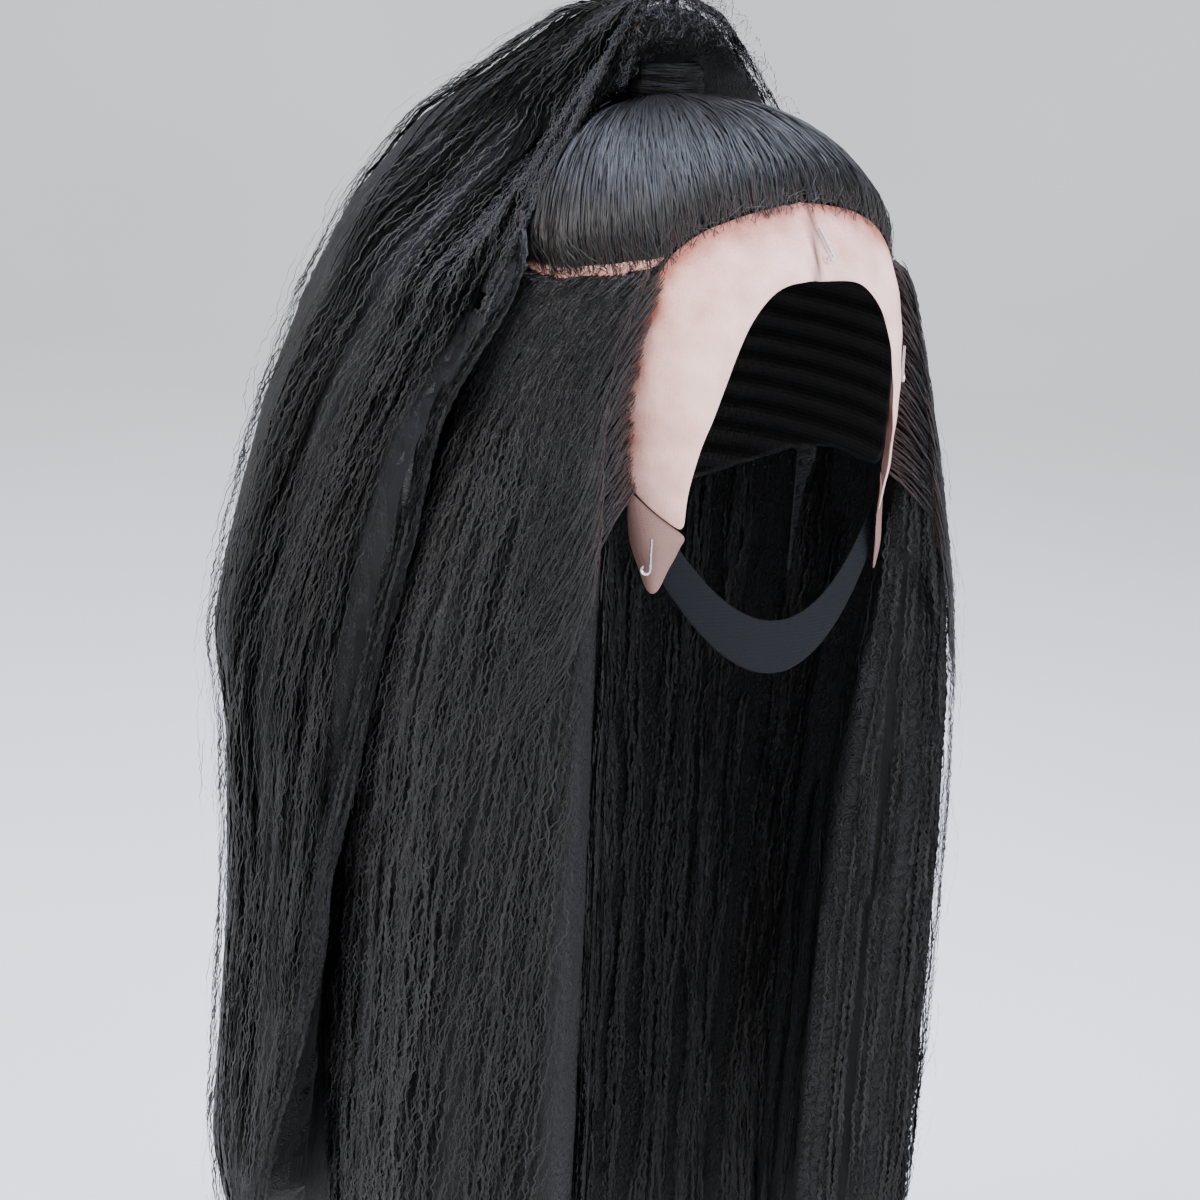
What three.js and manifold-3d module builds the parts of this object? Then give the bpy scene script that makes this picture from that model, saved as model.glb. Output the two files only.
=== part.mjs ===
// A lace front wig: a stretch cap with a lace front and ear tabs, hair that hangs from it
// in long locks, and a top section swept up into a high wrapped ponytail.
// Millimetres, +Z up, the face side towards -Y, the wearer's left at +X.
// The origin is the inner crown of the cap, the point that sits on the head.
import * as THREE from "three";
import { mergeVertices } from "three/addons/utils/BufferGeometryUtils.js";
import Module from "manifold-3d";

const wasm = await Module();
wasm.setup();

// The room for the head inside the cap
const headHalfWidth = 76;
const headHalfDepth = 96;
const crownHeight = 100;
const faceDrop = 150;
const napeDrop = 112;
const headCentreY = 6;
const planExponent = 2.3;
const crownExponent = 2.3;

// Walls and clearances
const clearance = 0.4;
const capWall = 1.2;
const hairSeat = 0.9;
const laceWall = 1;
const tabLength = 34;
const tabTipWidth = 12;
const tabSeam = 0.9;
const tabFoldRight = 7;
const tabFoldLeft = 2;

// The section swept up to the tie
const sweptEdgeThickness = 3.5;
const sweptTieThickness = 6;
const sweptRidgeDepth = 1;
const tieAzimuth = 180;
const tieElevation = 70;

// The hair that wraps the tie
const wrapInnerRadius = 11.5;
const wrapOuterRadius = 19;
const wrapHeight = 16;
const wrapTurns = 3;
const wrapTurnDepth = 1.2;

// The hanging hair
const hairTipLevel = -572;
const sideThicknessRight = 66;
const sideThicknessLeft = 65;
const rearThickness = 46;
const frontEdgeThickness = 26;
const lockGrooveDepth = 3.5;
const lockStagger = 22;
const sideLocks = 6;
const rearLocks = 8;
const frontShare = 0.001;
const rearStartShare = 0.42;
const seamShare = 0.004;

// The ponytail
const ponytailTop = 47;
const ponytailTopY = 58;
const ponytailTipLevel = -568;
const ponytailReach = 226;
const ponytailLeastReach = 12;
const ponytailShiftDepth = 80;
const ponytailLockDepth = 4;
const ponytailLocks = 12;

// The room that the ponytail leaves for the hanging hair: how far it goes on below the
// tips and above the parting
const roomBelowTips = 60;
const roomAboveParting = 2;

// The elastic band that runs under the chin from tab to tab
const bandWidth = 25;
const bandWall = 1.2;
const bandSag = 47;
const bandForward = 12;

// The straight pins that hold the lace
const pinLength = 13;
const pinDiameter = 1.2;
const pinLoopRadius = 1.8;

// The hairline and the free edge of the lace, from the middle of the forehead down to the
// ear. Angles about the head's centre: azimuth from the face, elevation from the level.
const laceRows = [
  { hairAzimuth: 0, hairElevation: 46, edgeAzimuth: 0, edgeElevation: 26 },
  { hairAzimuth: 20, hairElevation: 43, edgeAzimuth: 13, edgeElevation: 25 },
  { hairAzimuth: 36, hairElevation: 38, edgeAzimuth: 21, edgeElevation: 16 },
  { hairAzimuth: 45, hairElevation: 31, edgeAzimuth: 25, edgeElevation: 5 },
  { hairAzimuth: 50, hairElevation: 15, edgeAzimuth: 28, edgeElevation: -5 },
  { hairAzimuth: 52, hairElevation: -1, edgeAzimuth: 31, edgeElevation: -14 },
  { hairAzimuth: 52, hairElevation: -15, edgeAzimuth: 33.5, edgeElevation: -25 },
  { hairAzimuth: 50, hairElevation: -27, edgeAzimuth: 34, edgeElevation: -34 },
];

// The cap's edge over the ear and down to the nape
const napeRows = [
  { azimuth: 66, elevation: -31 },
  { azimuth: 85, elevation: -31 },
  { azimuth: 115, elevation: -37 },
  { azimuth: 150, elevation: -45 },
  { azimuth: 180, elevation: -48 },
];

// The parting between the swept-up section and the hanging hair, from the hairline round
// to the back of the head
const partingRows = [
  { azimuth: 45, elevation: 31 },
  { azimuth: 60, elevation: 30 },
  { azimuth: 80, elevation: 28 },
  { azimuth: 113, elevation: 27 },
  { azimuth: 150, elevation: 25 },
  { azimuth: 180, elevation: 24 },
];

// How thick the hanging hair is, and how wide the room inside it, down its length
const hangingRows = [
  { down: 0, thickness: 0.1, room: 1 },
  { down: 0.03, thickness: 0.2, room: 1 },
  { down: 0.08, thickness: 0.34, room: 1 },
  { down: 0.14, thickness: 0.52, room: 1 },
  { down: 0.2, thickness: 0.68, room: 0.99 },
  { down: 0.29, thickness: 0.86, room: 0.95 },
  { down: 0.38, thickness: 0.96, room: 0.88 },
  { down: 0.5, thickness: 1, room: 0.82 },
  { down: 0.62, thickness: 1, room: 0.79 },
  { down: 0.74, thickness: 0.99, room: 0.77 },
  { down: 0.86, thickness: 0.95, room: 0.77 },
  { down: 0.95, thickness: 0.8, room: 0.79 },
  { down: 1, thickness: 0.5, room: 0.82 },
];

// How far the ponytail stands out on its full side, as a share of its reach, down its fall
const ponytailRows = [
  { down: 0, reach: 0.05 },
  { down: 0.012, reach: 0.2 },
  { down: 0.05, reach: 0.34 },
  { down: 0.09, reach: 0.49 },
  { down: 0.15, reach: 0.665 },
  { down: 0.22, reach: 0.79 },
  { down: 0.3, reach: 0.86 },
  { down: 0.4, reach: 0.92 },
  { down: 0.48, reach: 0.955 },
  { down: 0.56, reach: 0.905 },
  { down: 0.7, reach: 0.91 },
  { down: 0.9, reach: 0.935 },
  { down: 1, reach: 0.84 },
];

// How much of the ponytail falls, and how full it is, on each side of the tie. A negative
// azimuth is the wearer's right, where most of it falls.
const ponytailSides = [
  { azimuth: -180, fall: 0.98, fullness: 0.82 },
  { azimuth: -155, fall: 1, fullness: 0.96 },
  { azimuth: -130, fall: 0.97, fullness: 1 },
  { azimuth: -117, fall: 0.93, fullness: 0.82 },
  { azimuth: -104, fall: 0.82, fullness: 0.34 },
  { azimuth: -92, fall: 0.3, fullness: 0.24 },
  { azimuth: -60, fall: 0.03, fullness: 0.2 },
  { azimuth: 0, fall: 0.026, fullness: 0.14 },
  { azimuth: 60, fall: 0.03, fullness: 0.25 },
  { azimuth: 95, fall: 0.08, fullness: 0.68 },
  { azimuth: 115, fall: 0.18, fullness: 0.7 },
  { azimuth: 133, fall: 0.55, fullness: 0.6 },
  { azimuth: 150, fall: 0.9, fullness: 0.62 },
  { azimuth: 180, fall: 0.98, fullness: 0.82 },
];

const hairColour = 0x17140f;
const laceColour = 0xe6c6b4;
const headCentre = new THREE.Vector3(0, headCentreY, -crownHeight);
const wig = new THREE.Group();

// Reads one column of a table at a place between its rows.
function readTable(rows, key, column, place) {
  if (place <= rows[0][key]) {
    return rows[0][column];
  }
  for (let index = 1; index < rows.length; index += 1) {
    const before = rows[index - 1];
    const after = rows[index];
    if (place <= after[key]) {
      const share = (place - before[key]) / (after[key] - before[key]);
      return THREE.MathUtils.lerp(before[column], after[column], share);
    }
  }
  return rows[rows.length - 1][column];
}

// The direction from the head's centre at an azimuth from the face and an elevation.
function directionAt(azimuth, elevation) {
  const turn = THREE.MathUtils.degToRad(azimuth);
  const rise = THREE.MathUtils.degToRad(elevation);
  const level = Math.cos(rise);
  return new THREE.Vector3(level * Math.sin(turn), -level * Math.cos(turn), Math.sin(rise));
}

// How far the head goes down below its widest level on the side that a direction points to.
function dropTowards(direction) {
  const level = Math.max(Math.hypot(direction.x, direction.y), 1e-9);
  const faceShare = (1 - direction.y / level) / 2;
  return napeDrop + (faceDrop - napeDrop) * faceShare;
}

// The point of the head's form, grown by an offset, in a direction from its centre.
function headPoint(direction, offset) {
  const height = direction.z > 0 ? crownHeight : dropTowards(direction);
  const across = Math.abs(direction.x / (headHalfWidth + offset)) ** planExponent;
  const along = Math.abs(direction.y / (headHalfDepth + offset)) ** planExponent;
  const upright = Math.abs(direction.z / (height + offset)) ** crownExponent;
  const size = (across + along) ** (crownExponent / planExponent) + upright;
  return direction.clone().multiplyScalar(size ** (-1 / crownExponent)).add(headCentre);
}

// The level radius of the head's form, grown by an offset, at an azimuth and a height.
// Below the widest level it keeps the widest radius, as hair hangs straight down.
function levelRadius(azimuth, height, offset) {
  const direction = directionAt(azimuth, 0);
  const across = Math.abs(direction.x / (headHalfWidth + offset)) ** planExponent;
  const along = Math.abs(direction.y / (headHalfDepth + offset)) ** planExponent;
  const rise = Math.max(height - headCentre.z, 0) / (crownHeight + offset);
  const narrowing = Math.max(1 - Math.min(rise, 1) ** crownExponent, 0) ** (1 / crownExponent);
  return narrowing * (across + along) ** (-1 / planExponent);
}

// The point at a radius from an upright axis at Y = centreY.
function polarPoint(azimuth, radius, height, centreY) {
  const direction = directionAt(azimuth, 0);
  return new THREE.Vector3(direction.x * radius, centreY + direction.y * radius, height);
}

// Turns one direction towards another by a share of the angle between them.
function turnTowards(from, to, share) {
  const axis = from.clone().cross(to).normalize();
  return from.clone().applyAxisAngle(axis, from.angleTo(to) * share);
}

// Even samples of a smooth line through directions.
function sampleLine(directions, steps) {
  const curve = new THREE.CatmullRomCurve3(directions);
  const samples = [];
  for (let step = 0; step <= steps; step += 1) {
    samples.push(curve.getPoint(step / steps).normalize());
  }
  return samples;
}

// Both sides of a table of angles as directions, from the wearer's right over the middle
// to the left.
function mirroredDirections(rows, azimuthKey, elevationKey) {
  const left = rows.map((row) => directionAt(row[azimuthKey], row[elevationKey]));
  const right = left.slice(1).reverse().map((side) => new THREE.Vector3(-side.x, side.y, side.z));
  return [...right, ...left];
}

// Makes a body from corner points and triangles, turned so that its faces point out.
function bodyFrom(points, triangles) {
  let volume = 0;
  for (const [first, second, third] of triangles) {
    volume += points[first].dot(points[second].clone().cross(points[third]));
  }
  const facing = volume > 0 ? triangles : triangles.map(([a, b, c]) => [a, c, b]);
  const geometry = new THREE.BufferGeometry();
  const corners = points.flatMap((point) => [point.x, point.y, point.z]);
  geometry.setAttribute("position", new THREE.Float32BufferAttribute(corners, 3));
  geometry.setIndex(facing.flat());
  geometry.computeVertexNormals();
  return geometry;
}

// A wall between an outer and an inner sheet. outer[row][column] and inner[row][column]
// are points; a closed wall runs right round, and a row of one point is a pole.
function wallBetween(outer, inner, closed) {
  const points = [];
  const triangles = [];
  const numberSheet = (sheet) => sheet.map((row) => row.map((point) => points.push(point) - 1));
  const outerIds = numberSheet(outer);
  const innerIds = numberSheet(inner);
  const pick = (row, column) => (row.length === 1 ? row[0] : row[column % row.length]);
  const addQuad = (a, b, c, d) => {
    const corners = [...new Set([a, b, c, d])];
    triangles.push([corners[0], corners[1], corners[2]]);
    if (corners.length === 4) {
      triangles.push([corners[0], corners[2], corners[3]]);
    }
  };
  const columnCount = Math.max(...outer.map((row) => row.length));
  const strips = closed ? columnCount : columnCount - 1;
  const lastRow = outer.length - 1;
  for (let row = 0; row < lastRow; row += 1) {
    for (let column = 0; column < strips; column += 1) {
      const [top, low] = [outerIds[row], outerIds[row + 1]];
      addQuad(pick(top, column), pick(top, column + 1), pick(low, column + 1), pick(low, column));
      const [innerTop, innerLow] = [innerIds[row], innerIds[row + 1]];
      addQuad(
        pick(innerTop, column),
        pick(innerLow, column),
        pick(innerLow, column + 1),
        pick(innerTop, column + 1),
      );
    }
    if (!closed) {
      addQuad(outerIds[row][0], outerIds[row + 1][0], innerIds[row + 1][0], innerIds[row][0]);
      const last = columnCount - 1;
      addQuad(
        outerIds[row][last],
        innerIds[row][last],
        innerIds[row + 1][last],
        outerIds[row + 1][last],
      );
    }
  }
  for (let column = 0; column < strips; column += 1) {
    const next = column + 1;
    if (outerIds[0].length > 1) {
      addQuad(
        pick(outerIds[0], column),
        pick(innerIds[0], column),
        pick(innerIds[0], next),
        pick(outerIds[0], next),
      );
    }
    addQuad(
      pick(outerIds[lastRow], column),
      pick(outerIds[lastRow], next),
      pick(innerIds[lastRow], next),
      pick(innerIds[lastRow], column),
    );
  }
  return bodyFrom(points, triangles);
}

// Adds one named piece to the wig.
function addPiece(name, geometry, colour, roughness, metalness) {
  const material = new THREE.MeshStandardMaterial({ color: colour, roughness, metalness });
  const mesh = new THREE.Mesh(geometry, material);
  mesh.name = name;
  wig.add(mesh);
  return mesh;
}

// The lines that the cap, the lace and the hair share
const laceSteps = 28;
const hairline = sampleLine(mirroredDirections(laceRows, "hairAzimuth", "hairElevation"), laceSteps);
const laceEdge = sampleLine(mirroredDirections(laceRows, "edgeAzimuth", "edgeElevation"), laceSteps);

// The stretch cap: a thin wall from the crown to the hairline, over the ears to the nape.
function makeCap() {
  const napeSteps = 18;
  const rounds = 9;
  const ear = laceRows[laceRows.length - 1];
  const earRow = { azimuth: ear.hairAzimuth, elevation: ear.hairElevation };
  const behind = [earRow, ...napeRows];
  const leftSide = behind.map((row) => directionAt(row.azimuth, row.elevation));
  const rightSide = leftSide.slice(0, -1).reverse();
  const aroundNape = [...leftSide, ...rightSide.map((side) => new THREE.Vector3(-side.x, side.y, side.z))];
  const edge = [...hairline, ...sampleLine(aroundNape, napeSteps).slice(1, -1)];
  const pole = directionAt(180, 45);
  const sheet = (offset) => {
    const rows = [[headPoint(pole, offset)]];
    for (let round = 1; round <= rounds; round += 1) {
      rows.push(edge.map((side) => headPoint(turnTowards(pole, side, round / rounds), offset)));
    }
    return rows;
  };
  addPiece("cap", wallBetween(sheet(capWall), sheet(0), true), 0x1c1a18, 0.9, 0);
}

// The lace front: a thin strip from the hairline to its free edge, from ear to ear.
function makeLaceFront() {
  const bands = 4;
  const sheet = (offset) => {
    const rows = [];
    for (let band = 0; band <= bands; band += 1) {
      rows.push(hairline.map((side, step) => {
        const start = clearance / headPoint(side, 0).distanceTo(headPoint(laceEdge[step], 0));
        const share = start + (1 - start) * (band / bands);
        return headPoint(turnTowards(side, laceEdge[step], share), offset);
      }));
    }
    return rows;
  };
  addPiece("lace_front", wallBetween(sheet(laceWall), sheet(0), false), laceColour, 0.85, 0);
}

// Where an ear tab joins the lace: its rear and front corners, its middle and its facing.
function tabSeat(side) {
  const end = side < 0 ? 0 : laceSteps;
  const rear = headPoint(hairline[end], 0);
  const front = headPoint(laceEdge[end], 0);
  const middle = rear.clone().add(front).multiplyScalar(0.5);
  const outward = hairline[end].clone().add(laceEdge[end]).setZ(0).normalize();
  return { rear, front, middle, outward };
}

// One ear tab: it goes on down from the end of the lace to a narrow rounded tip. Its fold
// is how far its middle stands out.
function makeEarTab(name, side, fold) {
  const columns = 6;
  const rows = 6;
  const { rear, front, middle, outward } = tabSeat(side);
  const topHalfWidth = rear.distanceTo(front) / 2;
  const across = front.clone().sub(rear).normalize();
  const level = new THREE.Vector3(across.x, across.y, 0).normalize();
  const sheet = (offset) => {
    const points = [];
    for (let row = 0; row <= rows; row += 1) {
      const down = row / rows;
      const halfWidth = THREE.MathUtils.lerp(topHalfWidth, tabTipWidth / 2, down ** 1.4);
      const direction = across.clone().lerp(level, Math.min(down * 2, 1)).normalize();
      const line = [];
      for (let column = 0; column <= columns; column += 1) {
        const place = (2 * column) / columns - 1;
        const roundedEnd = down * (1 - 0.3 * place * place);
        const bulge = fold * Math.sin(Math.PI * down) * (1 - place * place);
        const point = middle.clone().addScaledVector(direction, place * halfWidth);
        point.z -= tabSeam + roundedEnd * tabLength;
        line.push(point.addScaledVector(outward, offset + bulge));
      }
      points.push(line);
    }
    return points;
  };
  addPiece(name, wallBetween(sheet(laceWall), sheet(0), false), 0xb49a90, 0.8, 0);
}

// The top section, swept back from the hairline and up from the partings to the tie.
function makeSweptHair() {
  const rounds = 7;
  const sideSteps = 16;
  const frontRows = laceRows.slice(0, 4);
  const front = sampleLine(mirroredDirections(frontRows, "hairAzimuth", "hairElevation"), sideSteps);
  const leftSide = partingRows.map((row) => directionAt(row.azimuth, row.elevation));
  const rightSide = leftSide.slice(0, -1).reverse();
  const behind = [...leftSide, ...rightSide.map((side) => new THREE.Vector3(-side.x, side.y, side.z))];
  const edge = [...front, ...sampleLine(behind, 2 * sideSteps).slice(1, -1)];
  const pole = directionAt(tieAzimuth, tieElevation);
  const floorOffset = capWall + hairSeat;
  const sheet = (outside) => {
    const start = headPoint(pole, floorOffset + (outside ? sweptTieThickness : 0));
    const rows = [[start]];
    for (let round = 1; round <= rounds; round += 1) {
      const share = round / rounds;
      rows.push(edge.map((side, column) => {
        const direction = turnTowards(pole, side, share);
        const ridge = column % 2 === 0 ? 0 : -sweptRidgeDepth * share;
        const thickness = THREE.MathUtils.lerp(sweptTieThickness, sweptEdgeThickness, share ** 2);
        return headPoint(direction, floorOffset + (outside ? thickness + ridge : 0));
      }));
    }
    return rows;
  };
  addPiece("swept_hair", wallBetween(sheet(true), sheet(false), true), hairColour, 0.5, 0);
}

// Where the tie stands on the swept-up hair
const tiePoint = headPoint(
  directionAt(tieAzimuth, tieElevation),
  capWall + hairSeat + sweptTieThickness,
);
const wrapBottom = tiePoint.z + 2 * clearance;
const wrapTop = wrapBottom + wrapHeight;

// The height of the swept-up hair's outer face over a point, with an offset above it.
function sweptHeight(x, y, offset) {
  const grown = capWall + hairSeat + sweptTieThickness + offset;
  const across = Math.abs(x / (headHalfWidth + grown)) ** planExponent;
  const along = Math.abs((y - headCentreY) / (headHalfDepth + grown)) ** planExponent;
  const rise = (1 - (across + along) ** (crownExponent / planExponent)) ** (1 / crownExponent);
  return headCentre.z + (crownHeight + grown) * rise;
}

// The hair wound round the tie: a ring of rounded turns, seated on the swept-up hair.
function makeWrap() {
  const stepsPerTurn = 4;
  const sides = 20;
  const steps = wrapTurns * stepsPerTurn;
  const profile = [{ radius: wrapInnerRadius, share: 0 }];
  for (let step = 0; step <= steps; step += 1) {
    const turn = Math.abs(Math.sin((Math.PI * wrapTurns * step) / steps));
    profile.push({ radius: wrapOuterRadius - wrapTurnDepth * (1 - turn), share: step / steps });
  }
  profile.push({ radius: wrapInnerRadius, share: 1 });
  const points = [];
  const triangles = [];
  const count = profile.length;
  for (let side = 0; side < sides; side += 1) {
    const here = side * count;
    const next = ((side + 1) % sides) * count;
    profile.forEach((row, step) => {
      const point = polarPoint((360 * side) / sides, row.radius, 0, tiePoint.y);
      const seat = sweptHeight(point.x, point.y, clearance);
      point.z = THREE.MathUtils.lerp(seat, wrapTop, row.share);
      points.push(point);
      const above = (step + 1) % count;
      triangles.push([here + step, next + step, next + above], [here + step, next + above, here + above]);
    });
  }
  addPiece("ponytail_wrap", bodyFrom(points, triangles), hairColour, 0.45, 0);
}

// The height of the parting at an azimuth from the face, on either side.
function partingHeight(azimuth) {
  const side = Math.abs(azimuth);
  const elevation = readTable(partingRows, "azimuth", "elevation", side);
  return headPoint(directionAt(side, elevation), capWall + hairSeat).z;
}

// Where the front edge of the hanging hair lies at a height: behind the hairline.
function frontEdgeAzimuth(height) {
  const heights = laceRows.slice(3).map((row) => {
    const point = headPoint(directionAt(row.hairAzimuth, row.hairElevation), capWall);
    return { depth: -point.z, azimuth: row.hairAzimuth };
  });
  return readTable(heights, "depth", "azimuth", -height) + 1;
}

// The outer radius of the hanging hair, without its grooves.
function hangingRadius(azimuth, height) {
  const side = Math.abs(azimuth);
  const top = partingHeight(side);
  const down = (top - height) / (top - hairTipLevel);
  const sideThickness = azimuth < 0 ? sideThicknessRight : sideThicknessLeft;
  const widths = [
    { azimuth: 45, thickness: frontEdgeThickness },
    { azimuth: 80, thickness: sideThickness },
    { azimuth: 120, thickness: sideThickness },
    { azimuth: 180, thickness: rearThickness },
  ];
  const thickness = readTable(widths, "azimuth", "thickness", side);
  const share = readTable(hangingRows, "down", "thickness", down);
  return levelRadius(side, height, capWall + hairSeat) + thickness * share;
}

// Part of the hanging hair: locks with grooves between them, joined behind to one backing,
// with tips of uneven length. Its shares run from the front edge (0) to the back (1),
// and negative ones are on the wearer's right.
function makeHangingHair(name, fromShare, toShare, locks) {
  const columnsPerLock = 3;
  const columns = locks * columnsPerLock;
  const azimuthAt = (share, height) => {
    const front = frontEdgeAzimuth(height);
    return Math.sign(share) * (front + Math.abs(share) * (180 - front));
  };
  const sheet = (outside) => hangingRows.map((row) => {
    const line = [];
    for (let column = 0; column <= columns; column += 1) {
      const turn = THREE.MathUtils.lerp(fromShare, toShare, column / columns);
      const share = Math.abs(turn) > 1 ? turn - 2 * Math.sign(turn) : turn;
      const lock = Math.floor(column / columnsPerLock);
      const groove = column % columnsPerLock === 0 ? 1 : 0;
      const uneven = ((lock * 3) % 5) / 4;
      const tip = hairTipLevel + lockStagger * (0.5 * groove + 0.5 * uneven);
      const top = partingHeight(azimuthAt(share, partingHeight(60))) - clearance;
      const height = THREE.MathUtils.lerp(top, tip, row.down);
      const azimuth = azimuthAt(share, height);
      const inner = levelRadius(azimuth, height, capWall + hairSeat) * row.room;
      const fade = Math.min(row.down * 12, 1);
      const radius = outside ? hangingRadius(azimuth, height) - groove * fade * lockGrooveDepth : inner;
      line.push(polarPoint(azimuth, radius, height, headCentreY));
    }
    return line;
  });
  addPiece(name, wallBetween(sheet(true), sheet(false), false), hairColour, 0.6, 0);
}

// A closed body from rows of points that run right round, with a pole above and below.
function roundBody(rows, top, bottom) {
  const points = [top, bottom];
  const ids = rows.map((row) => row.map((point) => points.push(point) - 1));
  const triangles = [];
  const columns = rows[0].length;
  for (let column = 0; column < columns; column += 1) {
    const next = (column + 1) % columns;
    triangles.push([0, ids[0][next], ids[0][column]]);
    for (let row = 0; row < ids.length - 1; row += 1) {
      triangles.push([ids[row][column], ids[row][next], ids[row + 1][next]]);
      triangles.push([ids[row][column], ids[row + 1][next], ids[row + 1][column]]);
    }
    const last = ids[ids.length - 1];
    triangles.push([1, last[column], last[next]]);
  }
  return bodyFrom(points, triangles);
}

// A row of points right round, one for each column.
function roundRow(columns, pointFor) {
  const line = [];
  for (let column = 0; column < columns; column += 1) {
    line.push(pointFor(-180 + (360 * column) / columns, column));
  }
  return line;
}

// A geometry as a solid that can be cut.
function solidFrom(geometry) {
  const bare = new THREE.BufferGeometry();
  bare.setAttribute("position", geometry.getAttribute("position").clone());
  bare.setIndex(geometry.getIndex().clone());
  const merged = mergeVertices(bare);
  return new wasm.Manifold(new wasm.Mesh({
    numProp: 3,
    vertProperties: new Float32Array(merged.getAttribute("position").array),
    triVerts: new Uint32Array(merged.getIndex().array),
  }));
}

// The largest body of a solid, as a geometry.
function geometryFrom(solid) {
  const bodies = solid.decompose().sort((one, other) => other.volume() - one.volume());
  const mesh = bodies[0].getMesh();
  const geometry = new THREE.BufferGeometry();
  geometry.setAttribute("position", new THREE.Float32BufferAttribute(mesh.vertProperties, 3));
  geometry.setIndex([...mesh.triVerts]);
  geometry.computeVertexNormals();
  return geometry;
}

// The room that the swept-up hair and the head take, grown by the hair seat.
function sweptRoom() {
  const columns = 48;
  const offset = capWall + sweptTieThickness + 2.5 * hairSeat;
  const rows = [];
  for (let elevation = 82; elevation > -30; elevation -= 8) {
    rows.push(roundRow(columns, (azimuth) => headPoint(directionAt(azimuth, elevation), offset)));
  }
  const up = new THREE.Vector3(0, 0, 1);
  return solidFrom(roundBody(rows, headPoint(up, offset), headCentre));
}

// The room that the hanging hair takes, grown by the hair seat and closed across.
function hangingRoom() {
  const columns = 60;
  const levels = 24;
  const lowest = hairTipLevel - roomBelowTips;
  const fullestLevel = 0.7 * hairTipLevel;
  const rows = [];
  for (let level = 0; level <= levels; level += 1) {
    rows.push(roundRow(columns, (azimuth) => {
      const share = (level / levels) ** 1.5;
      const highest = partingHeight(azimuth) + roomAboveParting;
      const height = THREE.MathUtils.lerp(highest, lowest, share);
      const radius = hangingRadius(azimuth, Math.max(height, fullestLevel)) + 2 * hairSeat;
      return polarPoint(azimuth, radius, height, headCentreY);
    }));
  }
  const bottom = new THREE.Vector3(0, headCentreY, lowest);
  return solidFrom(roundBody(rows, headCentre, bottom));
}

// The room that the wrap takes, grown by the clearance.
function wrapRoom() {
  const columns = 24;
  const rowAt = (radius, height) => roundRow(
    columns,
    (azimuth) => polarPoint(azimuth, radius, height, tiePoint.y),
  );
  const outside = [wrapTop + clearance, wrapBottom - wrapHeight].map((height) => (
    rowAt(wrapOuterRadius + clearance, height)
  ));
  const inside = [wrapTop + clearance, wrapBottom - wrapHeight].map((height) => (
    rowAt(wrapInnerRadius - clearance, height)
  ));
  return solidFrom(wallBetween(outside, inside, true));
}

// The ponytail: it comes up out of the wrap, puffs over and falls behind the head, most
// of it to the wearer's right, close over the swept-up and the hanging hair.
function makePonytail() {
  const columns = 36;
  const bundleRadius = wrapInnerRadius - clearance;
  const sideOf = (column, azimuth) => readTable(ponytailSides, "azimuth", column, azimuth);
  const rows = ponytailRows.slice(1).map((row) => roundRow(columns, (azimuth, column) => {
    const height = ponytailTop - (ponytailTop - ponytailTipLevel) * sideOf("fall", azimuth) * row.down;
    const down = (ponytailTop - height) / (ponytailTop - ponytailTipLevel);
    const reach = ponytailReach * readTable(ponytailRows, "down", "reach", down);
    const hanging = hangingRadius(azimuth, Math.min(height, partingHeight(azimuth)));
    const lowShare = THREE.MathUtils.smoothstep(-height, 0, ponytailShiftDepth);
    const start = THREE.MathUtils.lerp(bundleRadius, hanging, lowShare);
    const groove = column % (columns / ponytailLocks) === 0 ? ponytailLockDepth : 0;
    const fullness = sideOf("fullness", azimuth);
    const depth = Math.max(reach - start, ponytailLeastReach) - groove * lowShare;
    const radius = start + depth * fullness;
    return polarPoint(azimuth, radius, height, THREE.MathUtils.lerp(tiePoint.y, headCentreY, lowShare));
  }));
  const tips = rows[rows.length - 1];
  rows.push(roundRow(columns, (azimuth, column) => (
    polarPoint(azimuth, bundleRadius, Math.min(tips[column].z, wrapTop), tiePoint.y)
  )));
  rows.push(roundRow(columns, (azimuth) => polarPoint(azimuth, bundleRadius, wrapBottom, tiePoint.y)));
  const top = new THREE.Vector3(0, ponytailTopY, ponytailTop);
  const bottom = new THREE.Vector3(0, tiePoint.y, wrapBottom);
  const whole = solidFrom(roundBody(rows, top, bottom));
  const open = whole.subtract(sweptRoom()).subtract(hangingRoom()).subtract(wrapRoom());
  addPiece("ponytail", geometryFrom(open), hairColour, 0.55, 0);
}

// The elastic band: a flat ribbon from tab to tab that sags under the chin.
function makeBand() {
  const steps = 24;
  const end = tabSeat(1).middle;
  const startAngle = Math.atan2(end.x, -(end.y - headCentreY));
  const endRadius = Math.hypot(end.x, end.y - headCentreY) - clearance;
  const topLevel = end.z - tabSeam;
  const sheet = (offset) => [0, 1].map((edge) => {
    const line = [];
    for (let step = 0; step <= steps; step += 1) {
      const place = (2 * step) / steps - 1;
      const middle = 1 - place * place;
      const x = place * endRadius * Math.sin(startAngle);
      const endY = headCentreY - endRadius * Math.cos(startAngle);
      const point = new THREE.Vector3(x, endY - bandForward * middle, topLevel - bandSag * middle);
      point.z -= edge * bandWidth;
      const outward = new THREE.Vector3(Math.sin(startAngle * place), -Math.cos(startAngle * place), 0);
      line.push(point.addScaledVector(outward, offset));
    }
    return line;
  });
  addPiece("elastic_band", wallBetween(sheet(0), sheet(-bandWall), false), 0x212d3a, 0.8, 0);
}

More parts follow.
